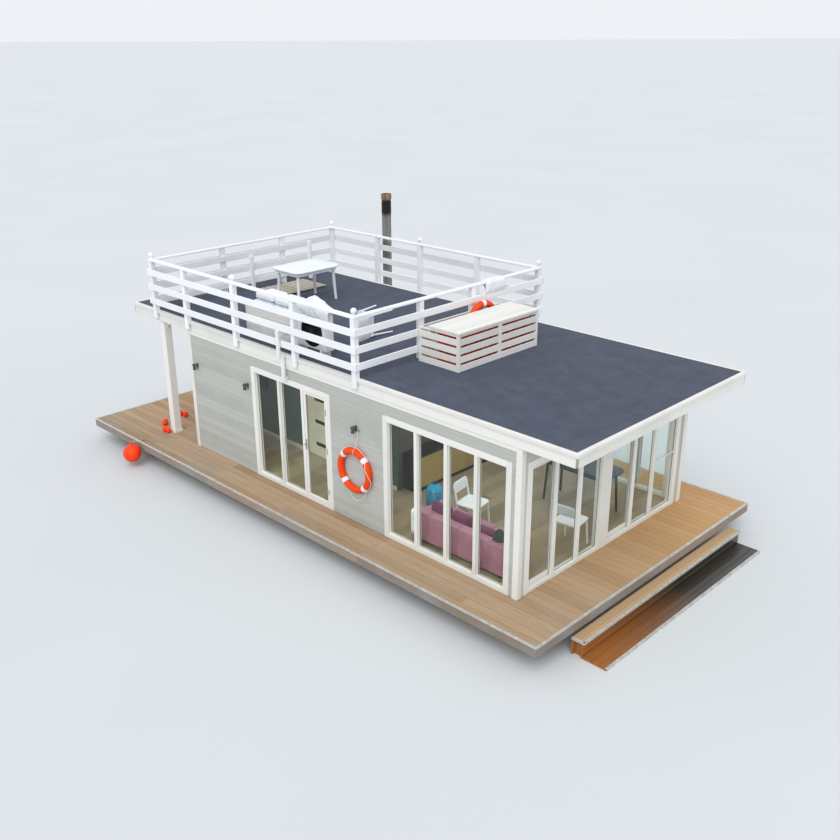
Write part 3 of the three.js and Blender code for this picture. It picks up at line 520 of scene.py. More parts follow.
# Wet hardwood: glossy, with streaks along the grain.
wet_hardwood, tree = new_material("wet_hardwood")
uv = add(tree, "ShaderNodeUVMap").outputs[0]
where = object_place(tree)
to_port = add(tree, "ShaderNodeSeparateXYZ", {0: where}).outputs["Y"]
fibres = add(tree, "ShaderNodeMapping", {"Vector": uv, "Scale": (1.4, 90.0, 1)}).outputs[0]
streaks = noise(tree, fibres, 1.0, 5.0)
shares = ramp(tree, to_port, -1.8, 0.4)
orange = blend(tree, streaks, "#b06c2c", "#7c491a")
brown = blend(tree, streaks, "#352f20", "#1f1b13")
soaked = blend(tree, shares, orange, brown)
ridge = bump(tree, streaks, 0.3, 0.002)
shade(tree, {"Base Color": soaked, "Roughness": 0.32, "Normal": ridge, "Coat Weight": 0.25})
upper = boards((np.array([UPPER_X[0], 11.307]), np.array([11.303, UPPER_X[1] - 0.004])), STEP_Y,
               (UPPER_Z - BOARD, UPPER_Z))
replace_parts(build("upper_tread", dry_hardwood, upper, slot="wet_hardwood"), "bathing_steps")
lower_edges = np.linspace(LOWER_X[0] + 0.004, LOWER_X[1] - 0.004, 4)
lower = boards((lower_edges[:-1] + 0.002, lower_edges[1:] - 0.002), STEP_Y, (LOWER_Z - BOARD, LOWER_Z))
riser = boards((11.360, 11.382), STEP_Y, (np.array([-0.500, -0.362]), np.array([-0.366, -0.242])))
ledger = boards((UPPER_X[0], 11.240), STEP_Y, (-0.570, -0.242))
build("lower_tread_and_riser", wet_hardwood, lower, riser, ledger, slot="wet_hardwood")
cheek_middle = np.array([-1.98, -0.69, 0.83, 2.13])
cheek_y = (cheek_middle - 0.022, cheek_middle + 0.022)
cheeks = [boards((11.203, 11.70), cheek_y, (-0.545, -0.462)),
          boards((11.203, 11.262), cheek_y, (-0.640, -0.245)),
          boards((11.262, 11.358), cheek_y, (-0.460, -0.245))]
build("step_cheeks", wet_hardwood, *cheeks, slot="wet_hardwood")
strip = np.array([(-0.002, -0.030), (-0.002, 0.003), (0.028, 0.003), (0.028, 0.0003), (0.001, 0.0003),
                  (0.001, -0.030)])
nosings = []
for (x0, x1), top in ((UPPER_X, UPPER_Z), (LOWER_X, LOWER_Z)):
    across = np.zeros((2, len(strip), 3))
    across[..., 0] = x1 - strip[:, 0]
    across[..., 1] = np.array(STEP_Y)[:, None]
    across[..., 2] = top + strip[:, 1]
    nosings.append(across[None])
    if top == UPPER_Z:
        end = across.copy()
        end[..., 0] = np.array([x0 + 0.002, x1 - 0.001])[:, None]
        end[..., 1] = STEP_Y[0] + strip[:, 0]
        nosings.append(end[None])
build("step_nosings", pale_aluminium, *nosings, slot="grey_timber")


def paint(name, colour, shadow, roughness=0.42):
    """Brushed paint on planed timber: the colour drifts towards a slightly dirtier one in soft patches
    and from board to board, and brush marks, 8 mm wide and finer, run along U."""
    material, tree = new_material(name)
    uv = add(tree, "ShaderNodeUVMap").outputs[0]
    where = object_place(tree)
    skin = add(tree, "ShaderNodeAttribute", attribute_name="skin").outputs["Fac"]
    marks = add(tree, "ShaderNodeMapping", {"Vector": uv, "Scale": (3.0, 1 / 0.008, 1)}).outputs[0]
    strokes = noise(tree, marks, 1.0, 4.0)
    cloud = noise(tree, where, 2.2, 5.0, 0.6)
    both = times(tree, cloud, skin)
    dirt = ramp(tree, both, 0.1, 0.6)
    mix = blend(tree, dirt, colour, shadow)
    gloss = ramp(tree, strokes, low=roughness - 0.06, high=roughness + 0.1)
    shade(tree, {"Base Color": mix, "Roughness": gloss, "Normal": bump(tree, strokes, 0.35, 0.0008)})
    return material


# Cabin walls: studs between boarding, 100 mm thick in all. Outside they are clad with horizontal
# boards in light grey paint, which stop at the white frames, corner boards and head boards.
CABIN_X = (2.655, 10.307)
CABIN_HALF = 2.095
CABIN_TOP = 2.200
CLAD_PITCH, CLAD_THICK = 0.096, 0.009
DOOR_X = (4.490, 6.524)
WINDOW_X = (7.710, 10.160)
OPENING_TOP = 2.005
grey_paint = paint("light_grey_wall_paint", "#b6b8b2", "#aaaca6", roughness=0.55)
white_paint = paint("white_satin_paint", "#e8e6e0", "#d9d7d0")
clad_z = np.arange(0.004, CABIN_TOP - 0.03, CLAD_PITCH)
clad_to = np.minimum(clad_z + CLAD_PITCH - 0.0015, CABIN_TOP - 0.018)
below = clad_z < OPENING_TOP - 0.02
LOW_ROWS, HIGH_ROWS = (clad_z[below], clad_to[below]), (clad_z[~below], clad_to[~below])
CLAD_EDGE = 0.0035


def clad_side(side, gaps):
    """Cladding of a long wall: each row of boards runs from corner board to corner board, broken at the
    gaps (from, to) up to the opening tops."""
    y = sorted((side * CABIN_HALF, side * (CABIN_HALF + CLAD_THICK)))
    ends = [CABIN_X[0] + 0.075] + [x for gap in gaps for x in gap] + [CABIN_X[1] - 0.075]
    low_rows = [boards(span, y, LOW_ROWS, CLAD_EDGE) for span in zip(ends[::2], ends[1::2])]
    return low_rows + [boards((ends[0], ends[-1]), y, HIGH_ROWS, CLAD_EDGE)]


build("cladding_starboard", grey_paint, *clad_side(-1, [DOOR_X, WINDOW_X]), slot="grey_wall_paint")
build("cladding_port", grey_paint, *clad_side(1, [WINDOW_X]), slot="grey_wall_paint")
aft_x = (CABIN_X[0] - CLAD_THICK, CABIN_X[0])
aft_rows = [boards(aft_x, span, LOW_ROWS, CLAD_EDGE) for span in ((-2.015, -0.412), (0.412, 2.015))]
aft_rows.append(boards(aft_x, (-2.015, 2.015), HIGH_ROWS, CLAD_EDGE))
build("cladding_aft", grey_paint, *aft_rows, slot="grey_wall_paint")


def recoat(node, material):
    """Gives a part of the loaded model one material in place of its own."""
    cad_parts[node].data.materials.clear()
    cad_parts[node].data.materials.append(material)


# Walls as they show inside and at their edges: matt off-white emulsion with a roller's texture.
inner_paint, tree = new_material("matt_inner_wall_paint")
where = object_place(tree)
fine = noise(tree, where, 220.0)
cloud = noise(tree, where, 1.5, 3.0)
warm = blend(tree, cloud, "#c9c7bf", "#bdbbb2")
roller = bump(tree, fine, 0.15, 0.0006)
shade(tree, {"Base Color": warm, "Roughness": 0.8, "Normal": roller})
for name in ("wall_starboard", "wall_port", "wall_aft", "wall_front"):
    recoat(name, inner_paint)

# White corner and head boards, 22 mm thick, nailed over the cladding's ends.
TRIM_THICK, TRIM_WIDE = 0.022, 0.095
HEAD_Z = (2.185, 2.249)
corner_grids = []
for side in (-1, 1):
    wall = side * (CABIN_HALF + 0.0003)
    y_long = sorted((wall, wall + side * TRIM_THICK))
    y_short = sorted((wall - side * 0.001, wall + side * (TRIM_THICK - TRIM_WIDE)))
    for edge, way in zip(CABIN_X, (-1, 1)):
        face = edge + way * 0.0003
        x_long = sorted((face + way * TRIM_THICK, face + way * (TRIM_THICK - TRIM_WIDE)))
        x_short = sorted((face, face + way * TRIM_THICK))
        corner_grids += [boards(x, y, (0.0003, 2.184)) for x, y in ((x_long, y_long), (x_short, y_short))]
    corner_grids.append(boards((CABIN_X[0] - TRIM_THICK, CABIN_X[1] + TRIM_THICK), y_long, HEAD_Z))
for edge, way in zip(CABIN_X, (-1, 1)):
    x_head = sorted((edge + way * 0.0003, edge + way * (0.0003 + TRIM_THICK)))
    corner_grids.append(boards(x_head, (-CABIN_HALF + 0.001, CABIN_HALF - 0.001), HEAD_Z))
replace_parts(build("corner_and_head_boards", white_paint, *corner_grids), "cabin_trim")

# Roof: a boarded slab that overhangs on all sides. White fascia boards stop short of the corners,
# where a metal angle holds them, and a folded white drip strip runs over their top edges.
ROOF_X = (0.880, 11.190)
ROOF_HALF = 2.130
ROOF_Z = (2.250, 2.438)
CORNER_GAP = 0.030
FASCIA = 0.030
side_x = (ROOF_X[0] + CORNER_GAP, ROOF_X[1] - CORNER_GAP)
fascia_z = (ROOF_Z[0], ROOF_Z[1] - 0.012)
fascia_grids = []
for side in (-1, 1):
    y = sorted((side * ROOF_HALF, side * (ROOF_HALF - FASCIA)))
    breaks = np.array([side_x[0], 4.27, 7.75, side_x[1]])
    fascia_grids.append(boards((breaks[:-1] + 0.0008, breaks[1:] - 0.0008), y, fascia_z))
for x in (ROOF_X[0], ROOF_X[1] - FASCIA):
    breaks = np.array([-ROOF_HALF + CORNER_GAP, 0.0, ROOF_HALF - CORNER_GAP])
    fascia_grids.append(boards((x, x + FASCIA), (breaks[:-1] + 0.0008, breaks[1:] - 0.0008), fascia_z))
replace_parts(build("fascia_boards", white_paint, *fascia_grids), "roof_fascia")
drip_profile = [(-0.0165, 2.396), (-0.0165, 2.441), (0.006, 2.4435), (0.050, 2.4435), (0.050, 2.4415),
                (0.004, 2.4415), (-0.0145, 2.4385), (-0.0145, 2.396)]
build("roof_drip_strip", white_paint, mitred(ROOF_X, (-ROOF_HALF, ROOF_HALF), drip_profile, (0, 1, 2)))
corner_x, corner_y = np.meshgrid(ROOF_X, (-ROOF_HALF, ROOF_HALF))
inward_x, inward_y = np.sign(6 - corner_x.ravel()), -np.sign(corner_y.ravel())
angle_x = (corner_x.ravel() + 0.006 * inward_x, corner_x.ravel() + 0.040 * inward_x)
angle_y = (corner_y.ravel() + 0.006 * inward_y, corner_y.ravel() + 0.040 * inward_y)
bracket = boards((np.minimum(*angle_x), np.maximum(*angle_x)), (np.minimum(*angle_y), np.maximum(*angle_y)),
                 (ROOF_Z[0] + 0.01, ROOF_Z[1] - 0.03), 0.003)
build("fascia_corner_angles", dull_steel, bracket, slot="stainless_steel")
# Soffit and ceiling: tongued white boards from end to end of the roof, with a fine gap between each two.
soffit_x = (ROOF_X[0] + FASCIA + 0.001, ROOF_X[1] - FASCIA - 0.001)
soffit_y = np.linspace(-ROOF_HALF + FASCIA + 0.002, ROOF_HALF - FASCIA - 0.002, 31)
soffit = boards(soffit_x, (soffit_y[:-1] + 0.001, soffit_y[1:] - 0.001), (2.2502, 2.262), 0.003)
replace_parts(build("soffit_boards", white_paint, soffit), "roof_core")

# Roof felt: mineral-surfaced sheets one metre wide laid across the roof, each lapped over the last,
# a few millimetres uneven on the boards below.
def felt_surface():
    """Sheets across the roof. The top is a plane raised by slow waves and by 1 mm from one end of a
    sheet to the other. Both fade within 0.27 m of the felt's edge, where it is nailed down under the
    drip strip. The skin runs round it as an upper and a lower row of points."""
    margin = 0.028
    across = np.linspace(-ROOF_HALF + margin, ROOF_HALF - margin, 90)
    starts = np.arange(0.93, 11.1, 1.0)
    ends = np.minimum(starts + 1.06, ROOF_X[1] - margin)
    starts = np.maximum(starts, ROOF_X[0] + margin)
    t = np.linspace(0, 1, 14)
    x = starts[:, None] + (ends - starts)[:, None] * t
    upper_x = x[:, :, None] + 0 * across
    wave = 0.001 * (np.sin(2.1 * upper_x + 3 * across) + np.cos(5.3 * across - 1.7 * upper_x))
    from_side, from_end = ROOF_HALF - np.abs(across), np.minimum(upper_x - ROOF_X[0], ROOF_X[1] - upper_x)
    from_edge = np.minimum(from_side, from_end) - margin
    loose = np.clip((from_edge - 0.07) / 0.20, 0, 1)
    upper_z = ROOF_Z[1] + 0.0035 + wave * loose + (t * 0.001)[None, :, None] * (0.15 + 0.85 * loose)
    upper = np.stack([upper_x, np.broadcast_to(across, upper_x.shape), upper_z], -1)
    lower = upper[:, :, ::-1].copy()
    lower[..., 2] = ROOF_Z[1] - 0.006
    return np.concatenate([upper, lower], 2)


# Slate-grey mineral felt: matt, with coloured grit a millimetre or two across and paler worn patches.
felt, tree = new_material("slate_mineral_felt")
where = object_place(tree)
grit = noise(tree, where, 260.0)
mottle = noise(tree, where, 3.0, 6.0, 0.75)
stains = ramp(tree, mottle, 0.35, 0.68)
slate = blend(tree, stains, "#393e4e", "#494f60")
speck = ramp(tree, grit, 0.4, 0.7, high=0.5)
gritty = blend(tree, speck, slate, "#5e636f")
rise = bump(tree, grit, 0.5, 0.0015)
shade(tree, {"Base Color": gritty, "Roughness": 0.92, "Normal": rise})
felt_sheets = build("felt_sheets", felt, felt_surface(), slot="roof_felt", sharp=50)
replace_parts(felt_sheets, "roof_felt")

# Porch posts: square white timbers under the roof's aft part. A board with two rounded corners spans
# from each post to the cabin.
POST_X, POST_SIZE = 1.760, 0.150


def arch_board(y):
    """A flat board in XZ. Its lower edge rises from the post and from the cabin along quarter ellipses to
    a straight middle, and its two faces lie 15 mm to each side of y."""
    start, reach = POST_X + POST_SIZE / 2 - 0.005, CABIN_X[0] - 0.025
    rise = np.linspace(0, math.pi / 2, 12)
    left = np.stack([start + 0.170 - 0.165 * np.cos(rise), 2.080 + 0.120 * np.sin(rise)], 1)
    right = np.stack([reach - 0.150 + 0.148 * np.sin(rise), 2.100 + 0.100 * np.cos(rise)], 1)
    outline = np.concatenate([[[start, 2.2495], [start, 2.080]], left, right, [[reach, 2.2495]]])
    faces = [np.stack([outline[:, 0], np.full(len(outline), y + d), outline[:, 1]], 1)
             for d in (-0.015, 0.015)]
    return np.array(faces)[None]


for side, word in ((-1, "starboard"), (1, "port")):
    y = side * (CABIN_HALF - POST_SIZE / 2)
    half = POST_SIZE / 2
    shaft = boards((POST_X - half, POST_X + half), (y - half, y + half), (0.0003, 2.2497), 0.006)
    foot = mitred((POST_X - half - 0.012, POST_X + half + 0.012), (y - half - 0.012, y + half + 0.012),
                  [(0, 0.001), (0, 0.055), (0.008, 0.062), (0.0115, 0.062), (0.0115, 0.001)], (0, 1, 2))
    post = build(f"porch_post_{word}_timber", white_paint, shaft, foot, arch_board(y))
    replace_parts(post, f"porch_post_{word}")


def stack(*sections, edge=0.005):
    """Posts built up from rectangles (x0, x1, y0, y1, z) from foot to top, with their corners cut and both
    ends drawn in by the same cut. Entries are numbers or arrays with one value for each post."""
    values = np.broadcast_arrays(*[v for section in sections for v in section])
    rows = np.stack([np.ravel(v) for v in values], 1).astype(float).reshape(-1, len(sections), 5)
    draw_in = edge * np.array([1, -1, 1, -1, 0])
    rise = edge * np.array([0, 0, 0, 0, 1])
    rows = np.concatenate([rows[:, :1] + draw_in, rows[:, :1] + rise, rows[:, 1:-1],
                           rows[:, -1:] - rise, rows[:, -1:] + draw_in], 1)
    x0, x1, y0, y1, z = np.moveaxis(rows, 2, 0)[..., None]
    cut_x = np.array([0, edge, edge, 0, 0, edge, edge, 0])
    cut_y = edge - cut_x
    x = np.where([1, 1, 0, 0, 0, 0, 1, 1], x1 - cut_x, x0 + cut_x)
    y = np.where([1, 1, 1, 1, 0, 0, 0, 0], y1 - cut_y, y0 + cut_y)
    return np.stack([x, y, np.broadcast_to(z, x.shape)], -1)


# Terrace railing: square posts, three boards nailed outside them, a flat cap rail and, on the corner
# and middle posts, a turned ball. The side posts are notched over the roof's edge.
TERRACE = 2.4413
RAIL_X = (1.720, 7.200)
RAIL_Y = 2.145
POST_HALF, RAIL_BOARD, RAIL_BOARD_HIGH = 0.045, 0.025, 0.112
CAP_WIDE, CAP_TOP, CAP_HIGH = 0.100, 3.400, 0.033
POST_TOP = CAP_TOP - CAP_HIGH
BOARD_Z = np.array([2.635, 2.897, 3.162])
BOARD_SPAN = (BOARD_Z - RAIL_BOARD_HIGH / 2, BOARD_Z + RAIL_BOARD_HIGH / 2)
BALL = 0.048
# Painted light: the railing's white is cooler and brighter than the white paint elsewhere. It stands in for
# the sky's light on the railing's shaded inner faces.
rail_paint_with_painted_skylight = paint("white_satin_paint_with_painted_skylight", "#f1f2f3", "#e4e5e8")


def ball_tops(places):
    """A short turned neck and a ball on each post: the profile is a cove under most of a circle."""
    turn = np.linspace(-1.1, math.pi / 2, 14)
    ball = np.stack([BALL * np.cos(turn), 0.075 + BALL * np.sin(turn)], 1)
    profile = np.concatenate([[(0.030, -0.010), (0.030, 0.010), (0.024, 0.016), (0.0215, 0.024)], ball[:-1],
                              [(0.002, 0.075 + BALL)]])
    return turned(profile, [(x, y, CAP_TOP) for x, y in places], 20)


def rail_side(name, side, posts):
    """A railing along the roof's side. posts are (x, has a ball)."""
    y = side * RAIL_Y
    x = np.array([p[0] for p in posts])
    outer, notch = side * (RAIL_Y + POST_HALF), side * (ROOF_HALF + 0.0163)
    leg = (x - POST_HALF, x + POST_HALF, min(outer, notch), max(outer, notch))
    full = (x - POST_HALF, x + POST_HALF, y - POST_HALF, y + POST_HALF)
    shafts = stack((*leg, 2.300), (*leg, TERRACE), (*full, TERRACE + 0.0005), (*full, POST_TOP))
    overhang = POST_HALF + RAIL_BOARD + 0.012
    reach = (RAIL_X[0] - overhang, RAIL_X[1] + overhang)
    rails = boards(reach, sorted((outer, outer + side * RAIL_BOARD)), BOARD_SPAN)
    cap = boards((RAIL_X[0] - CAP_WIDE / 2, RAIL_X[1] + CAP_WIDE / 2), (y - CAP_WIDE / 2, y + CAP_WIDE / 2),
                 (POST_TOP, CAP_TOP), 0.006)
    balls = ball_tops([(post, y) for post, ball in posts if ball])
    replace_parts(build(f"{name}_timbers", rail_paint_with_painted_skylight, shafts, rails, cap, balls), name)


def rail_across(x, way, posts):
    """A railing across the roof, between the corner posts of the two along its sides."""
    outer = x + way * (POST_HALF + 0.0003)
    y = np.array(posts)
    square = (*sorted((x - way * POST_HALF, outer)), y - POST_HALF, y + POST_HALF)
    shafts = stack((*square, TERRACE), (*square, POST_TOP))
    reach = RAIL_Y + POST_HALF - 0.001
    rails = boards(sorted((outer, outer + way * RAIL_BOARD)), (-reach, reach), BOARD_SPAN)
    cap_reach = RAIL_Y - CAP_WIDE / 2 - 0.0003
    cap = boards((x - CAP_WIDE / 2, x + CAP_WIDE / 2), (-cap_reach, cap_reach), (POST_TOP, CAP_TOP), 0.006)
    return [shafts, rails, cap]


rail_side("railing_starboard", -1, [(1.720, True), (2.760, False), (4.220, True), (5.790, False),
                                    (7.200, True)])
rail_side("railing_port", 1, [(1.720, True), (3.120, False), (4.330, True), (5.790, False), (7.200, True)])
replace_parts(build("railing_front_timbers", rail_paint_with_painted_skylight, *rail_across(RAIL_X[1], 1, [-0.780, 0.420])),
            "railing_front")
# The aft railing has a second set of boards inside its posts, which ends at a short post.
inner_face = RAIL_X[0] + POST_HALF
inner_boards = boards((inner_face, inner_face + RAIL_BOARD), (-2.095, 1.450), BOARD_SPAN)
short_y, short_top = np.array([-0.020, 1.445]), np.array([3.127, 3.215])
short_posts = [stack((1.790, 1.850, y - 0.035, y + 0.035, TERRACE),
                     (1.790, 1.850, y - 0.035, y + 0.035, top))
               for y, top in zip(short_y, short_top)]
aft_rail = [*rail_across(RAIL_X[0], -1, [-0.620, 0.810]), inner_boards, *short_posts]
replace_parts(build("railing_aft_timbers", rail_paint_with_painted_skylight, *aft_rail), "railing_aft")

# Wall lamps: three small bronze lanterns on the starboard wall, each a back plate, a short arm and a
# turned body with a cap, screwed to the cladding.
LAMP_X = np.array([2.865, 4.385, 7.130])
LAMP_Z = 1.620
black_coat, tree = new_material("black_powder_coat")
where = object_place(tree)
grain = noise(tree, where, 400.0)
orange_peel = bump(tree, grain, 0.2, 0.0005)
shade(tree, {"Base Color": linear("#0d0e0f"), "Roughness": 0.7, "Normal": orange_peel})
bronze = mottled("bronze_lacquered_metal", "#6d675b", "#3c3830", 45.0, 3.0,
                 {"Metallic": 0.4, "Roughness": 0.45})
clad_face = -CABIN_HALF - CLAD_THICK
lantern = turned([(0.004, 0.062), (0.030, 0.044), (0.042, 0.034), (0.042, 0.028), (0.028, 0.024),
                  (0.026, -0.042), (0.034, -0.046), (0.034, -0.054), (0.006, -0.064)],
                  [(x, clad_face - 0.070, LAMP_Z) for x in LAMP_X], 16)
plates = boards((LAMP_X - 0.026, LAMP_X + 0.026), (clad_face - 0.012, clad_face),
                (LAMP_Z - 0.050, LAMP_Z + 0.050), 0.003)
arms = boards((LAMP_X - 0.007, LAMP_X + 0.007), (clad_face - 0.070, clad_face - 0.010),
              (LAMP_Z + 0.010, LAMP_Z + 0.024), 0.002)
build("wall_lanterns", bronze, lantern, plates, arms, slot="black_plastic")

# Glazing frames: white timber jambs, heads, sills and posts. Round each fixed light a bead holds the
# glass, outside and inside, and a black rubber gasket lines the outer one.
LIGHT_Z = (0.070, 1.910)
SIDE_PANE = (2.045, 2.051)
rubber = mottled("black_gasket_rubber", "#17191a", "#2c2e2e", 30.0, 4.0, {"Roughness": 0.7})


def bead(face, way):
    """Section of a glazing bead that stands on the glass at face and points along way."""
    return [(0.0005, face), (0.0005, face + way * 0.024), (0.003, face + way * 0.027),
            (0.008, face + way * 0.027), (0.015, face + way * 0.008), (0.015, face)]


def gasket(face, way):
    """Section of the rubber lip beside a bead."""
    return [(0.0150, face), (0.0150, face + way * 0.005), (0.0185, face + way * 0.0045), (0.0200, face)]


def side_frame(name, side, span, posts, lights):
    """A frame in a long wall. Its first lights are glazed; the others are left to a leaf."""
    x0, x1 = span
    posts = np.array(posts)
    face = lambda inner, outer: sorted((side * inner, side * outer))
    timbers = [boards((np.array([x0, x1 - 0.095]), np.array([x0 + 0.095, x1])), face(2.000, 2.107),
                      (0.0003, OPENING_TOP)),
               boards((x0 + 0.095, x1 - 0.095), face(2.001, 2.106),
                      (np.array([0.0003, LIGHT_Z[1]]), np.array([LIGHT_Z[0], OPENING_TOP]))),
               boards((posts - 0.030, posts + 0.030), face(2.053, 2.107), (LIGHT_Z[0], LIGHT_Z[1]))]
    starts = np.concatenate([[x0 + 0.095], posts + 0.030])[:lights]
    ends = np.concatenate([posts - 0.030, [x1 - 0.095]])[:lights]
    timbers += [mitred((starts, ends), LIGHT_Z, bead(side * SIDE_PANE[1], side)),
                mitred((starts, ends), LIGHT_Z, bead(side * SIDE_PANE[0], -side))]
    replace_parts(build(f"{name}_timbers", white_paint, *timbers), name)
    build(f"{name}_gaskets", rubber, mitred((starts, ends), LIGHT_Z, gasket(side * SIDE_PANE[1], side)),
          slot="black_plastic")


side_frame("side_window_frame", -1, WINDOW_X, (8.386, 8.974, 9.534), 4)
side_frame("port_window_frame", 1, WINDOW_X, (8.386, 8.974, 9.534), 4)
side_frame("side_door_frame", -1, DOOR_X, (5.230, 5.840), 2)
# Front frame: the same timbers across the front wall, with a wide middle post and one glazing bar.
FRONT_X = (10.212, 10.319)
FIXED_PANE_X = (10.274, 10.280)
FRONT_LIGHT_Z = (0.060, 1.910)
mullion_y = np.array([-1.310, -0.730, 0.655, 1.215])
uprights = boards(FRONT_X, (np.array([-1.954, 1.840, -0.225]), np.array([-1.854, 1.930, 0.045])),
                  (0.0003, OPENING_TOP))
rails = boards((FRONT_X[0] + 0.001, FRONT_X[1] - 0.001), (-1.954 + 0.100, 1.930 - 0.090),
               (np.array([0.0003, 1.910]), np.array([0.060, OPENING_TOP])))
mullions = boards((10.2822, 10.315), (mullion_y - 0.038, mullion_y + 0.038), FRONT_LIGHT_Z)
bar = boards((10.2822, 10.312), (1.253, 1.840), (0.956, 0.976))
light_from, light_to = np.array([-1.272, -0.692, 0.693, 1.253]), np.array([-0.768, -0.225, 1.177, 1.840])
front_beads = [mitred((light_from, light_to), FRONT_LIGHT_Z, bead(FIXED_PANE_X[1], 1), (1, 2, 0)),
               mitred((light_from, light_to), FRONT_LIGHT_Z, bead(FIXED_PANE_X[0], -0.3), (1, 2, 0))]
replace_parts(build("front_frame_timbers", white_paint, uprights, rails, mullions, bar, *front_beads),
            "front_frame")
build("front_frame_gaskets", rubber,
      mitred((light_from, light_to), FRONT_LIGHT_Z, gasket(FIXED_PANE_X[1], 1), (1, 2, 0)),
      slot="black_plastic")

# Window glass: clear float glass with a faint green tint. Light passes it straight on, without a
# caustic, and its faces are slightly uneven, as rolled glass is.
clear_glass, tree = new_material("clear_float_glass")
where = object_place(tree)
ripple = noise(tree, where, 1.1, 1.0)
wavy = bump(tree, ripple, 0.05, 0.01)
pane = add(tree, "ShaderNodeBsdfPrincipled", {"Base Color": linear("#f3faf6"), "Roughness": 0.0, "IOR": 1.25,
                                              "Transmission Weight": 1.0, "Normal": wavy})
straight = add(tree, "ShaderNodeBsdfTransparent", {"Color": linear("#f3faf6")})
shadow_ray = add(tree, "ShaderNodeLightPath").outputs["Is Shadow Ray"]
either = add(tree, "ShaderNodeMixShader", {0: shadow_ray, 1: pane.outputs[0], 2: straight.outputs[0]})
add(tree, "ShaderNodeOutputMaterial", {"Surface": either.outputs[0]})
PANES = ("side_window_glass", "port_window_glass", "side_door_glass", "side_door_leaf_glass",
         "front_glass_starboard", "front_glass_port", "front_leaf_glass_starboard", "front_leaf_glass_port")
for name in PANES:
    recoat(name, clear_glass)

# Door leaves: white mitred stiles and rails with a gasket at the pane. The side door hangs on three
# hinges at its forward jamb and has a lever handle; the front leaves slide and have sunk pulls.
SIDE_LEAF = ((5.878, 6.423), (0.076, 1.904))
y_out, y_in = -2.099, -2.059
leaf_section = [(0.0, y_in), (0.0, y_out + 0.002), (0.002, y_out), (0.036, y_out), (0.044, y_out + 0.010),
                (0.044, y_in - 0.010), (0.036, y_in)]
side_leaf = mitred(*SIDE_LEAF, leaf_section)
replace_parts(build("side_door_leaf_timbers", white_paint, side_leaf, body="side_door"), "side_door_leaf")
lip = [(0.0442, -2.0821), (0.0442, -2.0865), (0.048, -2.0860), (0.050, -2.0821)]
build("side_door_leaf_gasket", rubber, mitred(*SIDE_LEAF, lip), body="side_door", slot="black_plastic")
hinge_z = np.array([0.30, 1.02, 1.68])
knuckles = turned([(0.003, -0.050), (0.008, -0.048), (0.008, 0.048), (0.003, 0.050)],
                  [(6.4265, -2.110, z) for z in hinge_z], 10)
lever = bent([(5.901, -2.102, 1.000), (5.901, -2.140, 1.000), (5.913, -2.148, 1.000),
              (6.010, -2.148, 0.998)], 6, 0.008, 10)
rose = boards((5.884, 5.918), (-2.1045, -2.0992), (0.900, 1.080), 0.002)
build("side_door_ironmongery", dull_steel, knuckles, lever, rose, body="side_door", slot="stainless_steel")
FRONT_LEAF_Z = (0.066, 1.904)
x_in, x_out = 10.225, 10.265
for word, u, handle_y in (("starboard", (-1.848, -1.272), -1.813), ("port", (0.051, 0.693), 0.086)):
    section = [(0.0, x_in), (0.0, x_out - 0.002), (0.002, x_out), (0.062, x_out), (0.070, x_out - 0.008),
               (0.070, x_in + 0.008), (0.062, x_in)]
    leaf = build(f"front_leaf_{word}_timbers", white_paint, mitred(u, FRONT_LEAF_Z, section, (1, 2, 0)),
                 body=f"front_door_{word}")
    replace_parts(leaf, f"front_leaf_{word}")
    lip = [(0.0702, 10.2482), (0.0702, 10.2520), (0.074, 10.2515), (0.076, 10.2482)]
    build(f"front_leaf_{word}_gasket", rubber, mitred(u, FRONT_LEAF_Z, lip, (1, 2, 0)),
          body=f"front_door_{word}", slot="black_plastic")
    plate = [(0, 10.2652), (0, 10.2666), (0.006, 10.2666), (0.008, 10.2655)]
    pull = mitred((handle_y - 0.018, handle_y + 0.018), (0.930, 1.090), plate, (1, 2, 0))
    build(f"front_leaf_{word}_pull", dull_steel, pull, body=f"front_door_{word}", slot="stainless_steel")

# Aft door: seven white boards tongued together, two ledges across them and a lever, in a plain casing.
door_edges = np.linspace(-0.402, 0.404, 8)
door_boards = boards((2.6545, 2.6905), (door_edges[:-1] + 0.001, door_edges[1:] - 0.001), (0.008, 2.004),
                     0.004)
ledges = boards((2.6900, 2.6950), (-0.400, 0.402), (np.array([0.20, 1.70]), np.array([0.32, 1.82])), 0.002)
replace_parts(build("aft_door_boards", white_paint, door_boards, ledges, body="aft_door"), "aft_door_leaf")
aft_lever = bent([(2.652, -0.340, 1.000), (2.615, -0.340, 1.000), (2.606, -0.328, 1.000),
                  (2.606, -0.230, 0.998)], 6, 0.008, 10)
aft_rose = boards((2.6510, 2.6542), (-0.360, -0.320), (0.900, 1.080), 0.001)
build("aft_door_lever", dull_steel, aft_lever, aft_rose, body="aft_door", slot="stainless_steel")
casing = [boards((2.626, 2.646), (np.array([-0.485, 0.412]), np.array([-0.412, 0.485])), (0.0003, 2.014)),
          boards((2.626, 2.646), (-0.500, 0.500), (2.015, 2.090))]
build("aft_door_casing", white_paint, *casing)

# Cabin floor: grey-brown laminate planks 191 mm wide laid across the boat, three or four to a row.
laminate = timber("grey_brown_laminate", "#a6967c", "#80735c", "#968a72", grain=0.45, roughness=0.42,
                  patch=0.35)
floor_x = np.linspace(2.7553, 10.2067, 40)
lengths = []
for first, breaks in ((0, (-1.9947, -0.66, 0.68, 1.9947)), (1, (-1.9947, -1.33, 0.01, 1.35, 1.9947))):
    cuts = np.array(breaks)
    row_from, y_from = np.meshgrid(floor_x[:-1][first::2], cuts[:-1])
    row_to, y_to = np.meshgrid(floor_x[1:][first::2], cuts[1:])
    lengths.append(boards((row_from + 0.0004, row_to - 0.0004), (y_from + 0.0004, y_to - 0.0004),
                          (0.0005, 0.0120), 0.0006))
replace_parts(build("laminate_planks", laminate, *lengths, slot="laminate"), "cabin_floor")
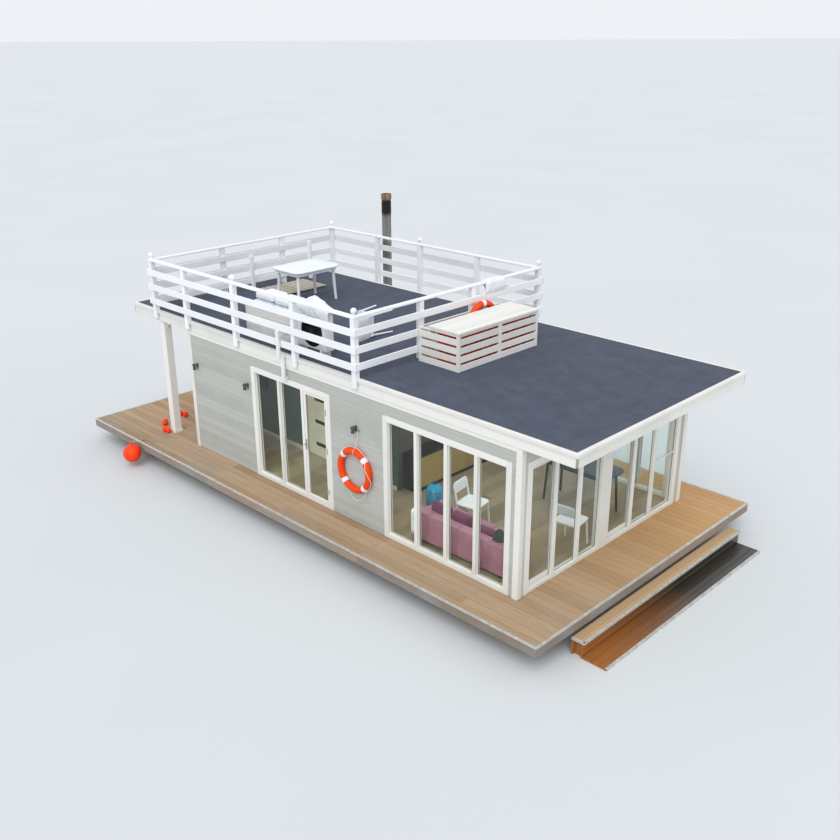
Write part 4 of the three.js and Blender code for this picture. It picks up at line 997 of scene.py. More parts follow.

# Inner walls: painted boards, blue-green in the side passage and dark olive towards the saloon, with
# cream skirting. Their darkness is partly painted shade. The sleeping cabin's door is cream, with four dark
# glass strips and a lever.
partition_paint_and_painted_shade, tree = new_material("teal_and_olive_wall_paint_with_painted_shade")
where = object_place(tree)
across = add(tree, "ShaderNodeSeparateXYZ", {0: where}).outputs["Y"]
in_passage = add(tree, "ShaderNodeMath", {0: across, 1: -0.885}, operation="LESS_THAN").outputs[0]
cloud = noise(tree, where, 1.8, 4.0)
# Partly painted shade: teal and olive are the walls' own hues, made as dark as the walls look in the
# passage's shade.
teal = blend(tree, cloud, "#4b5c59", "#5f6d66")
olive = blend(tree, cloud, "#4f4d43", "#5c594d")
side_colour = blend(tree, in_passage, olive, teal)
shade(tree, {"Base Color": side_colour, "Roughness": 0.75})
recoat("inner_walls", partition_paint_and_painted_shade)
cream_paint = paint("cream_satin_paint", "#ece2cc", "#dfd3b8", roughness=0.4)
leaf_slab = boards((4.439, 5.221), (-0.890, -0.850), (0.020, 2.004), 0.003)
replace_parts(build("inner_door_slab", cream_paint, leaf_slab, body="inner_door", slot="cream_paint"),
            "inner_door")
dark_glass, tree = new_material("dark_figured_glass")
where = object_place(tree)
dimple = add(tree, "ShaderNodeTexVoronoi", {"Vector": where, "Scale": 90.0}).outputs["Distance"]
figured = bump(tree, dimple, 0.4, 0.002)
shade(tree, {"Base Color": linear("#20231f"), "Roughness": 0.12, "Normal": figured})
strip_z = np.array([0.26, 0.70, 1.13, 1.57])
strips = boards((4.650, 5.000), (-0.892, -0.848), (strip_z - 0.035, strip_z + 0.035), 0.002)
build("inner_door_glass_strips", dark_glass, strips, body="inner_door", slot="black_plastic")
inner_lever = bent([(5.170, -0.888, 1.000), (5.170, -0.920, 1.000), (5.160, -0.930, 1.000),
                    (5.070, -0.930, 0.998)], 6, 0.007, 10)
build("inner_door_lever", dull_steel, inner_lever, body="inner_door", slot="stainless_steel")
TRIM_Y, FLOOR_TOP = (-0.914, -0.9003), 0.0125
SKIRTING_Z = (FLOOR_TOP, 0.092)
architrave = [boards((np.array([4.360, 5.232]), np.array([4.428, 5.300])), TRIM_Y, (FLOOR_TOP, 2.012)),
              boards((4.350, 5.310), TRIM_Y, (2.014, 2.082))]
skirting = [boards(x, y, SKIRTING_Z) for x, y in (
    ((2.7560, 4.358), TRIM_Y), ((5.302, 6.758), TRIM_Y), ((6.7603, 6.774), (1.102, 1.990)))]
build("inner_door_architrave_and_skirting", cream_paint, *architrave, *skirting, slot="cream_paint")

# Sideboard against the cross wall: three oak-veneered fronts on a black carcass with a black top.
black_laminate = smudged("black_satin_laminate", "#191a1b", 6.0, 4.0, 0.22, 0.42)
oak = timber("golden_oak_veneer", "#b39a63", "#9c824d", "#ab9769", grain=0.5, roughness=0.4, patch=0.2)
carcass = [boards((6.7605, x), y, z) for x, y, z in (
    (7.062, (-0.756, 1.086), (0.082, 0.638)), (7.080, (-0.770, 1.100), (0.638, 0.680)),
    (7.048, (-0.738, 1.068), (FLOOR_TOP, 0.084)))]
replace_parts(build("sideboard_carcass", black_laminate, *carcass, slot="oak_veneer"), "sideboard")
front_y = np.linspace(-0.756, 1.086, 4)
fronts = boards((7.060, 7.078), (front_y[:-1] + 0.003, front_y[1:] - 0.003), (0.092, 0.630), 0.002)
build("sideboard_fronts", oak, fronts, slot="oak_veneer")

# Sofa with its back to the starboard window: mauve velvet over padded boards, stitched into upright
# panels. Loose plum cushions, a white pillow and a small dark one lie along it.


def placed(grids, turn, offset):
    """Grids turned by a matrix and moved."""
    spin = np.array(turn, float)
    move = lambda g: np.asarray(g) @ spin.T + np.array(offset)
    return [("ring", move(g[1])) if isinstance(g, tuple) else move(g) for g in grids]


def padding(x, y, z, boxy=0.30, pinch=0.03, thin=1, crown=0.25, uneven=0.0):
    """Padded blocks in the boxes x by y by z, each a (from, to) pair of numbers or arrays. A superellipsoid
    whose faces thin out towards their edges along the thin axis by crown, and whose sides pull in between
    their corners by pinch. uneven adds slow creases, as a share of the half sizes."""
    ends = np.stack([np.ravel(e) for e in np.broadcast_arrays(x[0], x[1], y[0], y[1], z[0], z[1])],
                    1).astype(float)
    half, middle = (ends[:, 1::2] - ends[:, ::2]) / 2, (ends[:, 1::2] + ends[:, ::2]) / 2
    power = lambda v, e: np.sign(v) * np.abs(v) ** e
    up = np.linspace(-0.47, 0.47, 25)[:, None] * math.pi
    round_it = np.linspace(0, 2 * math.pi, 40, endpoint=False)
    unit = np.stack([power(np.sin(up), boxy) + 0 * round_it,
                     power(np.cos(up), boxy) * power(np.cos(round_it), boxy),
                     power(np.cos(up), boxy) * power(np.sin(round_it), boxy)], -1)
    a, b = [k for k in range(3) if k != thin]
    outward = np.maximum(np.abs(unit[..., a]), np.abs(unit[..., b]))
    puffed = unit.copy()
    puffed[..., thin] *= 1 - crown * outward**5
    puffed[..., a] *= 1 - pinch * (1 - unit[..., b] ** 2)
    puffed[..., b] *= 1 - pinch * (1 - unit[..., a] ** 2)
    shape = np.broadcast_to(puffed, (len(ends),) + puffed.shape).copy()
    phase = chance.random((len(ends), 1, 1, 4)) * 6.3
    ripple = np.sin(3.1 * unit[..., :1] + 2.3 * unit[..., 1:2] + 4.7 * unit[..., 2:] + phase[..., :1])
    ripple = ripple + np.sin(5.3 * unit[..., :1] - 4.1 * unit[..., 1:2] + phase[..., 1:2])
    shape *= 1 - uneven * (1 + 0.5 * ripple) * 0.5
    return middle[:, None, None] + shape * half[:, None, None]


def hoops(paths, radius, sides):
    """Closed round skins along the flat closed paths [hoop, station, xyz]."""
    paths = np.asarray(paths, float)
    ahead = np.roll(paths, -1, 1) - np.roll(paths, 1, 1)
    ahead /= np.linalg.norm(ahead, axis=2, keepdims=True)
    across = np.linalg.svd(paths - paths.mean(1, keepdims=True), full_matrices=False)[2][:, 2][:, None]
    side = np.cross(ahead, across)
    angle = np.linspace(0, 2 * math.pi, sides, endpoint=False)[:, None]
    across = np.broadcast_to(across, side.shape)
    out = np.cos(angle) * side[:, :, None] + np.sin(angle) * across[:, :, None]
    return "ring", paths[:, :, None] + radius * out


def cloth(name, colour, shadow, weave=900.0, sheen=0.2):
    """Upholstery cloth: a fine weave in the bump, soft worn patches in the colour and a faint sheen."""
    material, tree = new_material(name)
    where = object_place(tree)
    worn = noise(tree, where, 5.0, 5.0, 0.6)
    patch = ramp(tree, worn, 0.3, 0.7)
    mix = blend(tree, patch, colour, shadow)
    threads = noise(tree, where, weave, 1.0)
    nap = bump(tree, threads, 0.3, 0.0006)
    shade(tree, {"Base Color": mix, "Roughness": 0.85, "Normal": nap, "Sheen Weight": sheen,
                 "Sheen Roughness": 0.5})
    return material


velvet = cloth("mauve_velvet", "#b37388", "#975c70", sheen=0.4)
plum_cloth = cloth("plum_cushion_cloth", "#7a2f52", "#5c2340")
white_cloth = cloth("white_cotton_cloth", "#eef1f4", "#dbe0e6", sheen=0.1)
dark_cloth = cloth("dark_patterned_cloth", "#161b1a", "#3c4641", weave=120.0)
SOFA_X, SOFA_BACK_Y = (8.130, 9.890), (-1.880, -1.700)
seat_x = np.linspace(SOFA_X[0] + 0.153, SOFA_X[1] - 0.150, 4)
panel_x = np.linspace(SOFA_X[0] + 0.004, SOFA_X[1] - 0.004, 7)
sofa_parts = [
    ("sofa_back_panels", [padding((panel_x[:-1] + 0.0015, panel_x[1:] - 0.0015), SOFA_BACK_Y, (0.062, 0.522),
                                  0.10, 0.0, 1, 0.10)]),
    ("sofa_base", [padding((SOFA_X[0] + 0.153, SOFA_X[1] - 0.153), (-1.700, -1.232), (0.062, 0.318), 0.10,
                           0.0, 2, 0.02)]),
    ("sofa_arms", [padding((np.array([SOFA_X[0] + 0.002, SOFA_X[1] - 0.148]),
                            np.array([SOFA_X[0] + 0.148, SOFA_X[1] - 0.002])),
                           (-1.698, -1.232), (0.062, 0.480), 0.14, 0.01, 0, 0.12)]),
    ("sofa_seat", [padding((seat_x[:-1], seat_x[1:] - 0.003), (-1.698, -1.235), (0.320, 0.432), 0.22, 0.01,
                           2, 0.22)]),
]
for name, grids in sofa_parts:
    part = build(name, velvet, *grids, slot="mauve_cloth", sharp=60)
    if name == "sofa_back_panels":
        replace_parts(part, "sofa")
sofa_feet_x, sofa_feet_y = np.meshgrid([8.22, 9.80], [-1.82, -1.30])
feet = np.stack([sofa_feet_x.ravel(), sofa_feet_y.ravel(), np.full(4, FLOOR_TOP)], 1)
build("sofa_feet", black_laminate, turned([(0.016, 0.0), (0.022, 0.005), (0.026, 0.052)], feet, 14),
      slot="dark_veneer")
for k, (from_x, to_x, top) in enumerate([(8.285, 8.690, 0.655), (8.695, 9.080, 0.640),
                                         (9.110, 9.560, 0.570)]):
    pad = padding((from_x, to_x), (-1.722, -1.545), (0.425, top), 0.42, 0.06, 1, 0.35, 0.05)
    back_cushion = build(f"sofa_cushion_{k}", plum_cloth, pad, slot="mauve_cloth", sharp=80)
loose_pads = [("white_bolster", white_cloth, (0.058, 0.058, 0.238), 0.0, (8.045, -1.770, 0.252), 1),
              ("patterned_cushion", dark_cloth, (0.095, 0.085, 0.110), 0.3, (9.660, -1.700, 0.560), 1)]
for name, material, (a, b, c), lean, spot, thin in loose_pads:
    tip = [[math.cos(lean), 0, math.sin(lean)], [0, 1, 0], [-math.sin(lean), 0, math.cos(lean)]]
    pad = padding((-a, a), (-b, b), (-c, c), 0.5, 0.08, thin, 0.4, 0.05)
    pillow = build(name, material, *placed([pad], tip, spot), slot="white_cloth", sharp=80)

# Quilted dark bag that hangs on the passage wall behind the side door's first pane.
quilted = cloth("dark_quilted_cloth", "#15181a", "#202427", weave=250.0, sheen=0.1)
bag_x = np.linspace(2.990, 3.300, 4)
HOOK_X = (3.075, 3.215)
bag_pads = padding((bag_x[:-1], bag_x[1:] + 0.004), (-0.962, -0.8885), (0.960, 1.985), 0.25, 0.02, 1, 0.25,
                   0.03)
bag = build("hanging_bag", quilted, bag_pads, slot="black_plastic", sharp=70)
bag_loops = [smooth_route([(x - 0.05, -0.905, 1.960), (x, -0.8995, 2.045), (x + 0.05, -0.905, 1.960)], 6)
             for x in HOOK_X]
build("hanging_bag_loops", quilted, tubes(bag_loops, 0.004, 8), slot="black_plastic")
bag_hooks = [[(x, -0.8862, 2.0485), (x, -0.8900, 2.0485), (x, -0.9000, 2.0485), (x, -0.9050, 2.0490)]
             for x in HOOK_X]
build("hanging_bag_hooks", dull_steel, tubes(bag_hooks, 0.0035, 8), slot="stainless_steel")

# Water bottle of the dispenser kind: blue clear plastic with a ribbed waist and a dark blue cap.
blue_plastic, tree = new_material("blue_plastic_with_painted_glow")
where = object_place(tree)
level = add(tree, "ShaderNodeSeparateXYZ", {0: where}).outputs["Z"]
# Painted highlight: the colour lightens from the bottle's foot to its top.
painted_highlight_share = ramp(tree, level, 0.95, 1.35)
blue = blend(tree, painted_highlight_share, "#0f6f96", "#2f9fc6")
# Painted glow: a faint emission in the bottle's own colour, though the bottle is no lamp.
shade(tree, {"Base Color": blue, "Roughness": 0.12, "Emission Color": blue, "Emission Strength": 0.06})
ribs = np.linspace(0.150, 0.262, 9)
bottle_profile = [(0.110, 0.0), (0.128, 0.006), (0.135, 0.020), (0.135, 0.118), (0.128, 0.132),
                  (0.128, 0.138)]
bottle_profile += [(0.131 + 0.004 * math.cos(math.pi * i), z) for i, z in enumerate(ribs)]
bottle_profile += [(0.130, 0.275), (0.112, 0.312), (0.075, 0.336), (0.046, 0.346), (0.038, 0.352),
                   (0.036, 0.372)]
BOTTLE_PLACE = [(7.530, -0.800, FLOOR_TOP)]
bottle = build("water_bottle_body", blue_plastic, turned(bottle_profile, BOTTLE_PLACE, 32),
               slot="blue_plastic")
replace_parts(bottle, "water_bottle")
cap_blue = smudged("dark_blue_cap_plastic", "#1b3a6b", 90.0, 2.0, 0.3, 0.45)
cap_profile = [(0.037, 0.366), (0.038, 0.370), (0.038, 0.391), (0.034, 0.395)]
build("water_bottle_cap", cap_blue, turned(cap_profile, BOTTLE_PLACE, 24), slot="blue_plastic")


# Moulded furniture: white resin, satin, with rounded edges. The terrace table stands under the aft
# railing, one chair has fallen on its side, and two chairs stand in the saloon.
def outline(length, width, radius):
    """Rounded rectangle about the origin, with a quarter circle of seven points at each corner, and the
    way out at each point."""
    steps = 7
    turn = np.linspace(0, math.pi / 2, steps)
    angle = np.concatenate([turn + k * math.pi / 2 for k in range(4)])
    across = np.repeat([1, -1, -1, 1], steps) * (length / 2 - radius)
    deep = np.repeat([1, 1, -1, -1], steps) * (width / 2 - radius)
    normal = np.stack([np.cos(angle), np.sin(angle)], 1)
    return np.stack([across, deep], 1) + radius * normal, normal


def slab(length, width, radius, layers, dish=0.0):
    """A flat piece built up from (share, inset, height) layers of one rounded outline, the last ones
    drawn in to form its top, which dishes down towards the middle."""
    edge, normal = outline(length, width, radius)
    rows = []
    for share, inset, height in layers:
        flat = (edge - inset * normal) * share
        drop = dish * (1 - (flat[:, 0] * 2 / length) ** 2) * (1 - (flat[:, 1] * 2 / width) ** 2)
        rows.append(np.concatenate([flat, (height - drop)[:, None]], 1))
    return np.array(rows)[None]


def legs(tops, feet, top_radius, foot_radius):
    """Straight tapered legs from tops to feet."""
    t = np.linspace(0, 1, 6)[None, :, None]
    paths = np.asarray(tops, float)[:, None] * (1 - t) + np.asarray(feet, float)[:, None] * t
    paths[:, 2, 0] += 1e-5
    return tubes(paths, np.linspace(top_radius, foot_radius, 6), 12)


def about_z(angle):
    """Turn about the upright axis."""
    return [[math.cos(angle), -math.sin(angle), 0], [math.sin(angle), math.cos(angle), 0], [0, 0, 1]]


resin, tree = new_material("white_moulded_resin")
where = object_place(tree)
film = noise(tree, where, 7.0, 5.0)
dull = ramp(tree, film, low=0.3, high=0.5)
dusted = blend(tree, film, "#eef1f5", "#dfe2e6")
shade(tree, {"Base Color": dusted, "Roughness": dull})


def table_grids(length, width, height, foot_radius, apron):
    """Top with a rolled edge, a rail under it and four splayed legs."""
    spots = np.array([[-1, -1], [-1, 1], [1, -1], [1, 1]])
    tops = np.column_stack([spots * (length / 2 - 0.140, width / 2 - 0.130), np.full(4, height - 0.030)])
    feet = np.column_stack([spots * (length / 2 - 0.105, width / 2 - 0.095), np.zeros(4)])
    top = slab(length, width, 0.170, [(1, 0.030, height - 0.032), (1, 0.006, height - 0.032),
                                      (1, 0.0, height - 0.024), (1, 0.0, height - 0.010),
                                      (1, 0.004, height - 0.003), (1, 0.014, height), (0.6, 0.014, height)])
    edge, normal = outline(length, width, 0.170)
    ringed = [np.concatenate([edge - inset * normal, np.full((len(edge), 1), height - down)], 1)
              for inset, down in ((0.050, 0.030), (0.050, 0.030 + apron), (0.062, 0.030 + apron),
                                  (0.062, 0.030))]
    return [top, legs(tops, feet, foot_radius * 1.1, foot_radius * 0.85), ("ring", np.array(ringed)[None])]


terrace_table = placed(table_grids(0.830, 1.090, 0.670, 0.030, 0.06), about_z(0), (3.200, 0.220, 2.4473))
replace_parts(build("terrace_table_moulding", resin, *terrace_table, slot="white_plastic", sharp=40),
            "terrace_table")
table_blue = smudged("blue_black_table_laminate", "#141b24", 5.0, 4.0, 0.25, 0.4)
saloon_table = placed(table_grids(1.320, 0.650, 0.740, 0.022, 0.03), about_z(0), (9.265, 0.800, 0.0183))
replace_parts(build("saloon_table_top_and_legs", table_blue, *saloon_table, slot="dark_veneer", sharp=40),
            "saloon_table")


def chair_grids(back_high, back_middle):
    """Seat, four legs, two stiles and a back board that leans. The chair faces its own +X."""
    sides = np.array([-1.0, 1.0])
    row = lambda x, y, z: np.column_stack([np.full(2, x), sides * y, np.full(2, z)])
    seat = slab(0.400, 0.410, 0.070, [(1, 0.020, 0.415), (1, 0.004, 0.416), (1, 0.0, 0.422), (1, 0.0, 0.432),
                                      (1, 0.004, 0.438), (1, 0.016, 0.440), (0.85, 0.016, 0.440),
                                      (0.55, 0.016, 0.440), (0.25, 0.016, 0.440)], 0.006)
    front = legs(row(0.165, 0.165, 0.428), row(0.195, 0.190, 0.0), 0.018, 0.014)
    rear = legs(row(-0.170, 0.170, 0.428), row(-0.205, 0.190, 0.0), 0.018, 0.014)
    stiles = legs(row(-0.180, 0.172, 0.420), row(-0.228, 0.168, 0.700), 0.017, 0.013)
    board = slab(back_high, 0.390, min(0.070, back_high / 2 - 0.01),
                 [(0.6, 0.012, -0.011), (1, 0.012, -0.011), (1, 0.0, -0.004), (1, 0.0, 0.004),
                  (1, 0.012, 0.011), (0.6, 0.012, 0.011)])
    lean = [[math.cos(1.4), 0, math.sin(1.4)], [0, 1, 0], [-math.sin(1.4), 0, math.cos(1.4)]]
    return [seat, front, rear, stiles] + placed([board], lean, (-0.228, 0, back_middle))


for name, grids, turn, offset in (
    ("saloon_chair", chair_grids(0.180, 0.665), about_z(0.16), (8.510, -0.970, 0.0183)),
    ("front_chair", chair_grids(0.180, 0.665), about_z(1.7), (9.935, -0.375, 0.0183)),
    ("terrace_chair", chair_grids(0.390, 0.680), [[-1, 0, 0], [0, 0, -1], [0, -1, 0]],
     (5.680, -0.120, 2.6486)),
):
    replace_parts(build(f"{name}_moulding", resin, *placed(grids, turn, offset), slot="white_plastic",
                      sharp=40), name)

# Slatted chest before the front railing: white painted posts and slats, a hinged slatted lid, and a
# slot along its back that is open from above. Orange life jackets with black straps fill it.
CHEST_X, CHEST_Y, CHEST_TOP, SLOT_X = (7.280, 8.115), (-0.900, 1.000), 3.010, 7.495
post_x, post_y = np.meshgrid([CHEST_X[0], CHEST_X[1] - 0.050], [CHEST_Y[0], CHEST_Y[1] - 0.050])
post_x, post_y = post_x.ravel(), post_y.ravel()
chest_posts = [stack((*square, TERRACE), (*square, CHEST_TOP), edge=0.003) for square in (
    (post_x, post_x + 0.050, post_y, post_y + 0.050), (8.065, 8.115, 0.035, 0.095))]
slat_low = TERRACE + 0.136 * np.arange(5)
slat_z = (slat_low + 0.0005, np.minimum(slat_low + 0.099, CHEST_TOP - 0.0005))
long_y, short_x = (CHEST_Y[0] + 0.048, CHEST_Y[1] - 0.048), (CHEST_X[0] + 0.048, CHEST_X[1] - 0.048)
chest_slats = [boards((x, x + 0.020), long_y, slat_z, 0.003)
               for x in (CHEST_X[0] + 0.003, CHEST_X[1] - 0.023)]
chest_slats += [boards(short_x, (y, y + 0.020), slat_z, 0.003)
                for y in (CHEST_Y[0] + 0.003, CHEST_Y[1] - 0.023)]
chest_slats.append(boards((CHEST_X[0] + 0.010, CHEST_X[1] - 0.010), (CHEST_Y[0] + 0.010, CHEST_Y[1] - 0.010),
                          (TERRACE, TERRACE + 0.020), 0.002))
chest_slats.append(boards((7.480, 7.500), (CHEST_Y[0] + 0.024, CHEST_Y[1] - 0.024), (2.940, 3.008), 0.002))
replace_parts(build("chest_posts_and_slats", white_paint, *chest_posts, *chest_slats), "chest")
LID_FRONT, LID_Y = CHEST_X[1] + 0.008, (CHEST_Y[0] - 0.008, CHEST_Y[1] + 0.008)
lid_from = SLOT_X + (LID_FRONT - SLOT_X - 0.097) / 5 * np.arange(6)
lid_slats = boards((lid_from, lid_from + 0.097), LID_Y, (CHEST_TOP + 0.018, CHEST_TOP + 0.050), 0.005)
bearers = boards((np.array([SLOT_X + 0.024, LID_FRONT - 0.050]),
                  np.array([SLOT_X + 0.074, LID_FRONT - 0.002])),
                 (LID_Y[0] + 0.005, LID_Y[1] - 0.005), (CHEST_TOP + 0.006, CHEST_TOP + 0.0185), 0.003)
tie_y = np.array([LID_Y[0] + 0.030, sum(CHEST_Y) / 2, LID_Y[1] - 0.030])
ties = boards((SLOT_X + 0.075, LID_FRONT - 0.051), (tie_y - 0.026, tie_y + 0.026),
              (CHEST_TOP + 0.0065, CHEST_TOP + 0.0183), 0.003)
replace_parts(build("chest_lid_slats", white_paint, lid_slats, bearers, ties, body="lid"), "chest_lid")
pin_profile = [(0.002, -0.031), (0.005, -0.030), (0.005, 0.030), (0.002, 0.031)]
pins = turned(pin_profile, [(SLOT_X + 0.0015, y, CHEST_TOP + 0.0125) for y in (-0.60, 0.70)], 10, 1)
build("chest_lid_hinge_pins", dull_steel, pins, body="lid", slot="stainless_steel")
orange_cloth = cloth("orange_nylon_cloth", "#ff5c1e", "#f24c18", weave=500.0, sheen=0.1)
black_webbing = cloth("black_webbing", "#1b1c1e", "#2c2d30", weave=300.0, sheen=0.0)
layer_z = np.linspace(2.4625, 2.945, 6)
jacket_y = np.linspace(-0.820, 0.920, 4)
for layer in range(5):
    for column in range(3):
        shift = 0.012 * chance.random(3)
        x_span = (7.512 + shift[0], 8.036 - shift[1])
        y_span = (jacket_y[column] + 0.003 + shift[2], jacket_y[column + 1] - 0.004)
        z_span = (layer_z[layer] + 0.0005, layer_z[layer + 1] - 0.0005)
        pad = padding(x_span, y_span, z_span, 0.36, 0.04, 2, 0.30, 0.03)
        jacket = build(f"life_jacket_{layer}_{column}", orange_cloth, pad, slot="orange_fabric", sharp=70)
        if layer == 0 and column == 0:
            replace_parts(jacket, "life_jackets")
strap_y = (jacket_y[:-1] + jacket_y[1:])[:, None] / 2 + np.array([-0.13, 0.13])
spot_y, spot_z = np.array([(y, z) for y in strap_y.ravel() for z in (layer_z[:-1] + layer_z[1:]) / 2]).T
straps = padding((8.0345, 8.0395), (spot_y - 0.020, spot_y + 0.020), (spot_z - 0.030, spot_z + 0.030), 0.3,
                 0, 0, 0.1)
build("life_jacket_straps", black_webbing, straps, slot="black_plastic")

# Lifebuoys: hard orange shells with four white bands. One hangs on the wall from a hook, the other
# stands in the chest's slot.
buoy_gloss = {"Roughness": 0.5, "Specular IOR Level": 0.25}
buoy_orange = mottled("orange_buoy_shell", "#f24a00", "#e24102", 6.0, 4.0, buoy_gloss)
RING_TUBE = 0.055
circle = np.linspace(0, 2 * math.pi, 72, endpoint=False)
roof_ring_middle = np.array([7.380, 0.485, TERRACE + 0.0203 + 0.350])
for name, middle, reach, across, first_band in (("wall_lifebuoy", RING_MIDDLE, 0.320, 1, 45),
                                                ("roof_lifebuoy", roof_ring_middle, 0.295, 0, 0)):
    band_turn = np.radians(first_band + 90 * np.arange(4))[:, None] + np.radians(np.linspace(-6.5, 6.5, 7))

    def on_ring(angle):
        """Points of the ring's middle circle, in the plane square to its axis."""
        flat = np.zeros(angle.shape + (3,))
        flat[..., 1 - across], flat[..., 2] = reach * np.cos(angle), reach * np.sin(angle)
        return flat + middle

    ring = hoops([on_ring(circle)], RING_TUBE, 28)
    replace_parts(build(f"{name}_shell", buoy_orange, ring, slot="orange_plastic", sharp=60), name)
    ends = np.array([0.97, 1.0, 1.0, 1.0, 1.0, 1.0, 0.97])
    bands = tubes(on_ring(band_turn), (RING_TUBE + 0.0022) * ends, 28)
    build(f"{name}_bands", white_cloth, bands, slot="white_cloth", sharp=60)
hook_place = np.array([7.200, -2.1045, 1.600])
hook_bend = np.array([(0, 0.002, 0), (0, -0.030, 0), (0, -0.044, 0.006), (0, -0.046, 0.020)])
hook_plate = turned([(0.016, -0.003), (0.016, 0.001), (0.004, 0.003)], [hook_place - (0, 0.001, 0)], 14, 1)
build("lifebuoy_hook", dull_steel, bent(hook_place + hook_bend, 5, 0.004, 8), hook_plate,
      slot="stainless_steel")
ring_top = RING_MIDDLE + np.array([0.030, 0, 0.320])
over = np.linspace(0.25, 2 * math.pi - 0.25, 15)
sling_loop = ring_top + np.stack([0 * over, 0.060 * np.sin(over), 0.060 * np.cos(over)], 1)
half_way = (hook_place + sling_loop[[0, -1]]) / 2 + [(0, 0, 0), (0.006, 0, 0)]
sling = np.concatenate([[hook_place + (0.002, -0.038, 0.006), half_way[0]], sling_loop,
                        [half_way[1], hook_place + (-0.002, -0.040, 0.008)]])
build("lifebuoy_sling", white_rope, bent(sling, 3, 0.0035, 8), slot="white_rope", sharp=80)

# Air-conditioning unit on two trestles: a white enamelled casing with a round pocket in its face, a
# black wire guard before the fan, and a duct cover that takes its pipes over the roof's edge.
AC_X, AC_Y, AC_Z = (5.400, 6.190), (-1.860, -1.680), (2.560, 3.195)
FAN_MIDDLE, FAN_RADIUS = (5.870, 2.840), 0.250


def casing():
    """A box about the pocket: rings of points at the same angles round the fan's axis run from the pocket's
    floor over its lip, out to the box's edges and back to its rear face. The corners' angles are among
    them."""
    box = np.array([AC_X, AC_Z]) - np.array(FAN_MIDDLE)[:, None]
    corners = [math.atan2(z, x) for x in box[0] for z in box[1]]
    angle = np.sort(np.concatenate([corners, np.linspace(-math.pi, math.pi, 60, endpoint=False)]))
    way = np.stack([np.cos(angle), np.sin(angle)], 1)

    def border(inset):
        """Where rays at these angles leave the box."""
        limit = np.where(way > 0, box[:, 1] - inset, box[:, 0] + inset)
        reach = np.full(way.shape, np.inf)
        np.divide(limit, way, out=reach, where=abs(way) > 1e-9)
        return way * reach.min(axis=1, keepdims=True)

    front, rear = AC_Y
    layers = ((way * FAN_RADIUS, front + 0.130), (way * FAN_RADIUS, front + 0.004),
              (way * (FAN_RADIUS + 0.004), front), (border(0.008), front), (border(0.002), front + 0.003),
              (border(0.0), front + 0.010), (border(0.0), rear - 0.006), (border(0.006), rear))
    rows = [np.stack([flat[:, 0] + FAN_MIDDLE[0], np.full(len(flat), y), flat[:, 1] + FAN_MIDDLE[1]], 1)
            for flat, y in layers]
    return np.array(rows)[None]


enamel = mottled("white_enamelled_steel", "#eff1f0", "#dcdedd", 4.0, 6.0, {"Roughness": 0.38}, roughness=0.7)
trestle_x = np.array([5.490, 6.060])
trestles = boards((trestle_x, trestle_x + 0.040), (-1.870, -1.670), (TERRACE, AC_Z[0] + 0.002), 0.004)
duct = [boards(x, y, z, 0.006) for x, y, z in (
    ((5.466, 5.514), (-2.264, -1.8602), (2.740, 2.785)), ((5.460, 5.520), (-2.268, -2.222), (2.460, 2.860)),
    ((5.461, 5.519), (-2.267, -2.1465), (2.421, 2.465)),
    ((5.460, 5.520), (-2.1913, -2.1465), (2.060, 2.466)),
    ((5.461, 5.519), (-2.190, -2.1046), (2.012, 2.061)))]
seams = boards((AC_X[0] - 0.0008, AC_X[1] + 0.0008), (AC_Y[0] + 0.030, AC_Y[1] - 0.030),
               (AC_Z[1] - 0.0004, AC_Z[1] + 0.0012), 0.0005)
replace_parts(build("aircon_casing", enamel, casing(), trestles, *duct, seams, slot="white_plastic"),
            "aircon_unit")
liner = [(0.2495, -0.0008), (0.2492, 0.1292), (0.002, 0.1292), (0.002, 0.1275), (0.2460, 0.1275),
         (0.2460, -0.0008)]
fan_liner = ("ring", turned(liner, [(FAN_MIDDLE[0], AC_Y[0], FAN_MIDDLE[1])], 40, 1))
turn = np.linspace(0, 2 * math.pi, 48, endpoint=False)
hoop_reach = np.array([0.055, 0.085, 0.115, 0.145, 0.175, 0.205, 0.235, 0.252])[:, None]
wires = np.stack([FAN_MIDDLE[0] + hoop_reach * np.cos(turn), np.full((8, 48), AC_Y[0] - 0.004),
                  FAN_MIDDLE[1] + hoop_reach * np.sin(turn)], -1)
spoke_turn = np.linspace(0, 2 * math.pi, 12, endpoint=False)[:, None]
spoke_reach = np.array([0.050, 0.15, 0.20, 0.252])
spoke_y = np.full((12, 4), AC_Y[0] - 0.0065) + np.array([0, 0, 1e-5, 0])
spokes = np.stack([FAN_MIDDLE[0] + spoke_reach * np.cos(spoke_turn), spoke_y,
                   FAN_MIDDLE[1] + spoke_reach * np.sin(spoke_turn)], -1)
badge = turned([(0.020, -0.003), (0.052, -0.001), (0.052, 0.003), (0.048, 0.005)],
               [(FAN_MIDDLE[0], AC_Y[0] - 0.006, FAN_MIDDLE[1])], 24, 1)
guard = [hoops(wires, 0.0013, 6), tubes(spokes, 0.0013, 6), badge]
build("aircon_guard_and_liner", black_coat, fan_liner, *guard, slot="black_plastic", sharp=50)
blade_reach = np.linspace(0.042, 0.228, 8)[:, None]
chord = (0.050 + 0.062 * np.sin(np.linspace(0.3, 2.3, 8)))[:, None]
pitch = np.linspace(0.65, 0.33, 8)[:, None]
ring_turn = np.linspace(0, 2 * math.pi, 12, endpoint=False)
flat, thick = chord * np.cos(ring_turn), 0.0022 * np.sin(ring_turn) + 0 * chord
x, y = blade_reach + 0 * flat, flat * np.sin(pitch) + thick * np.cos(pitch)
z = flat * np.cos(pitch) - thick * np.sin(pitch)
blades = []
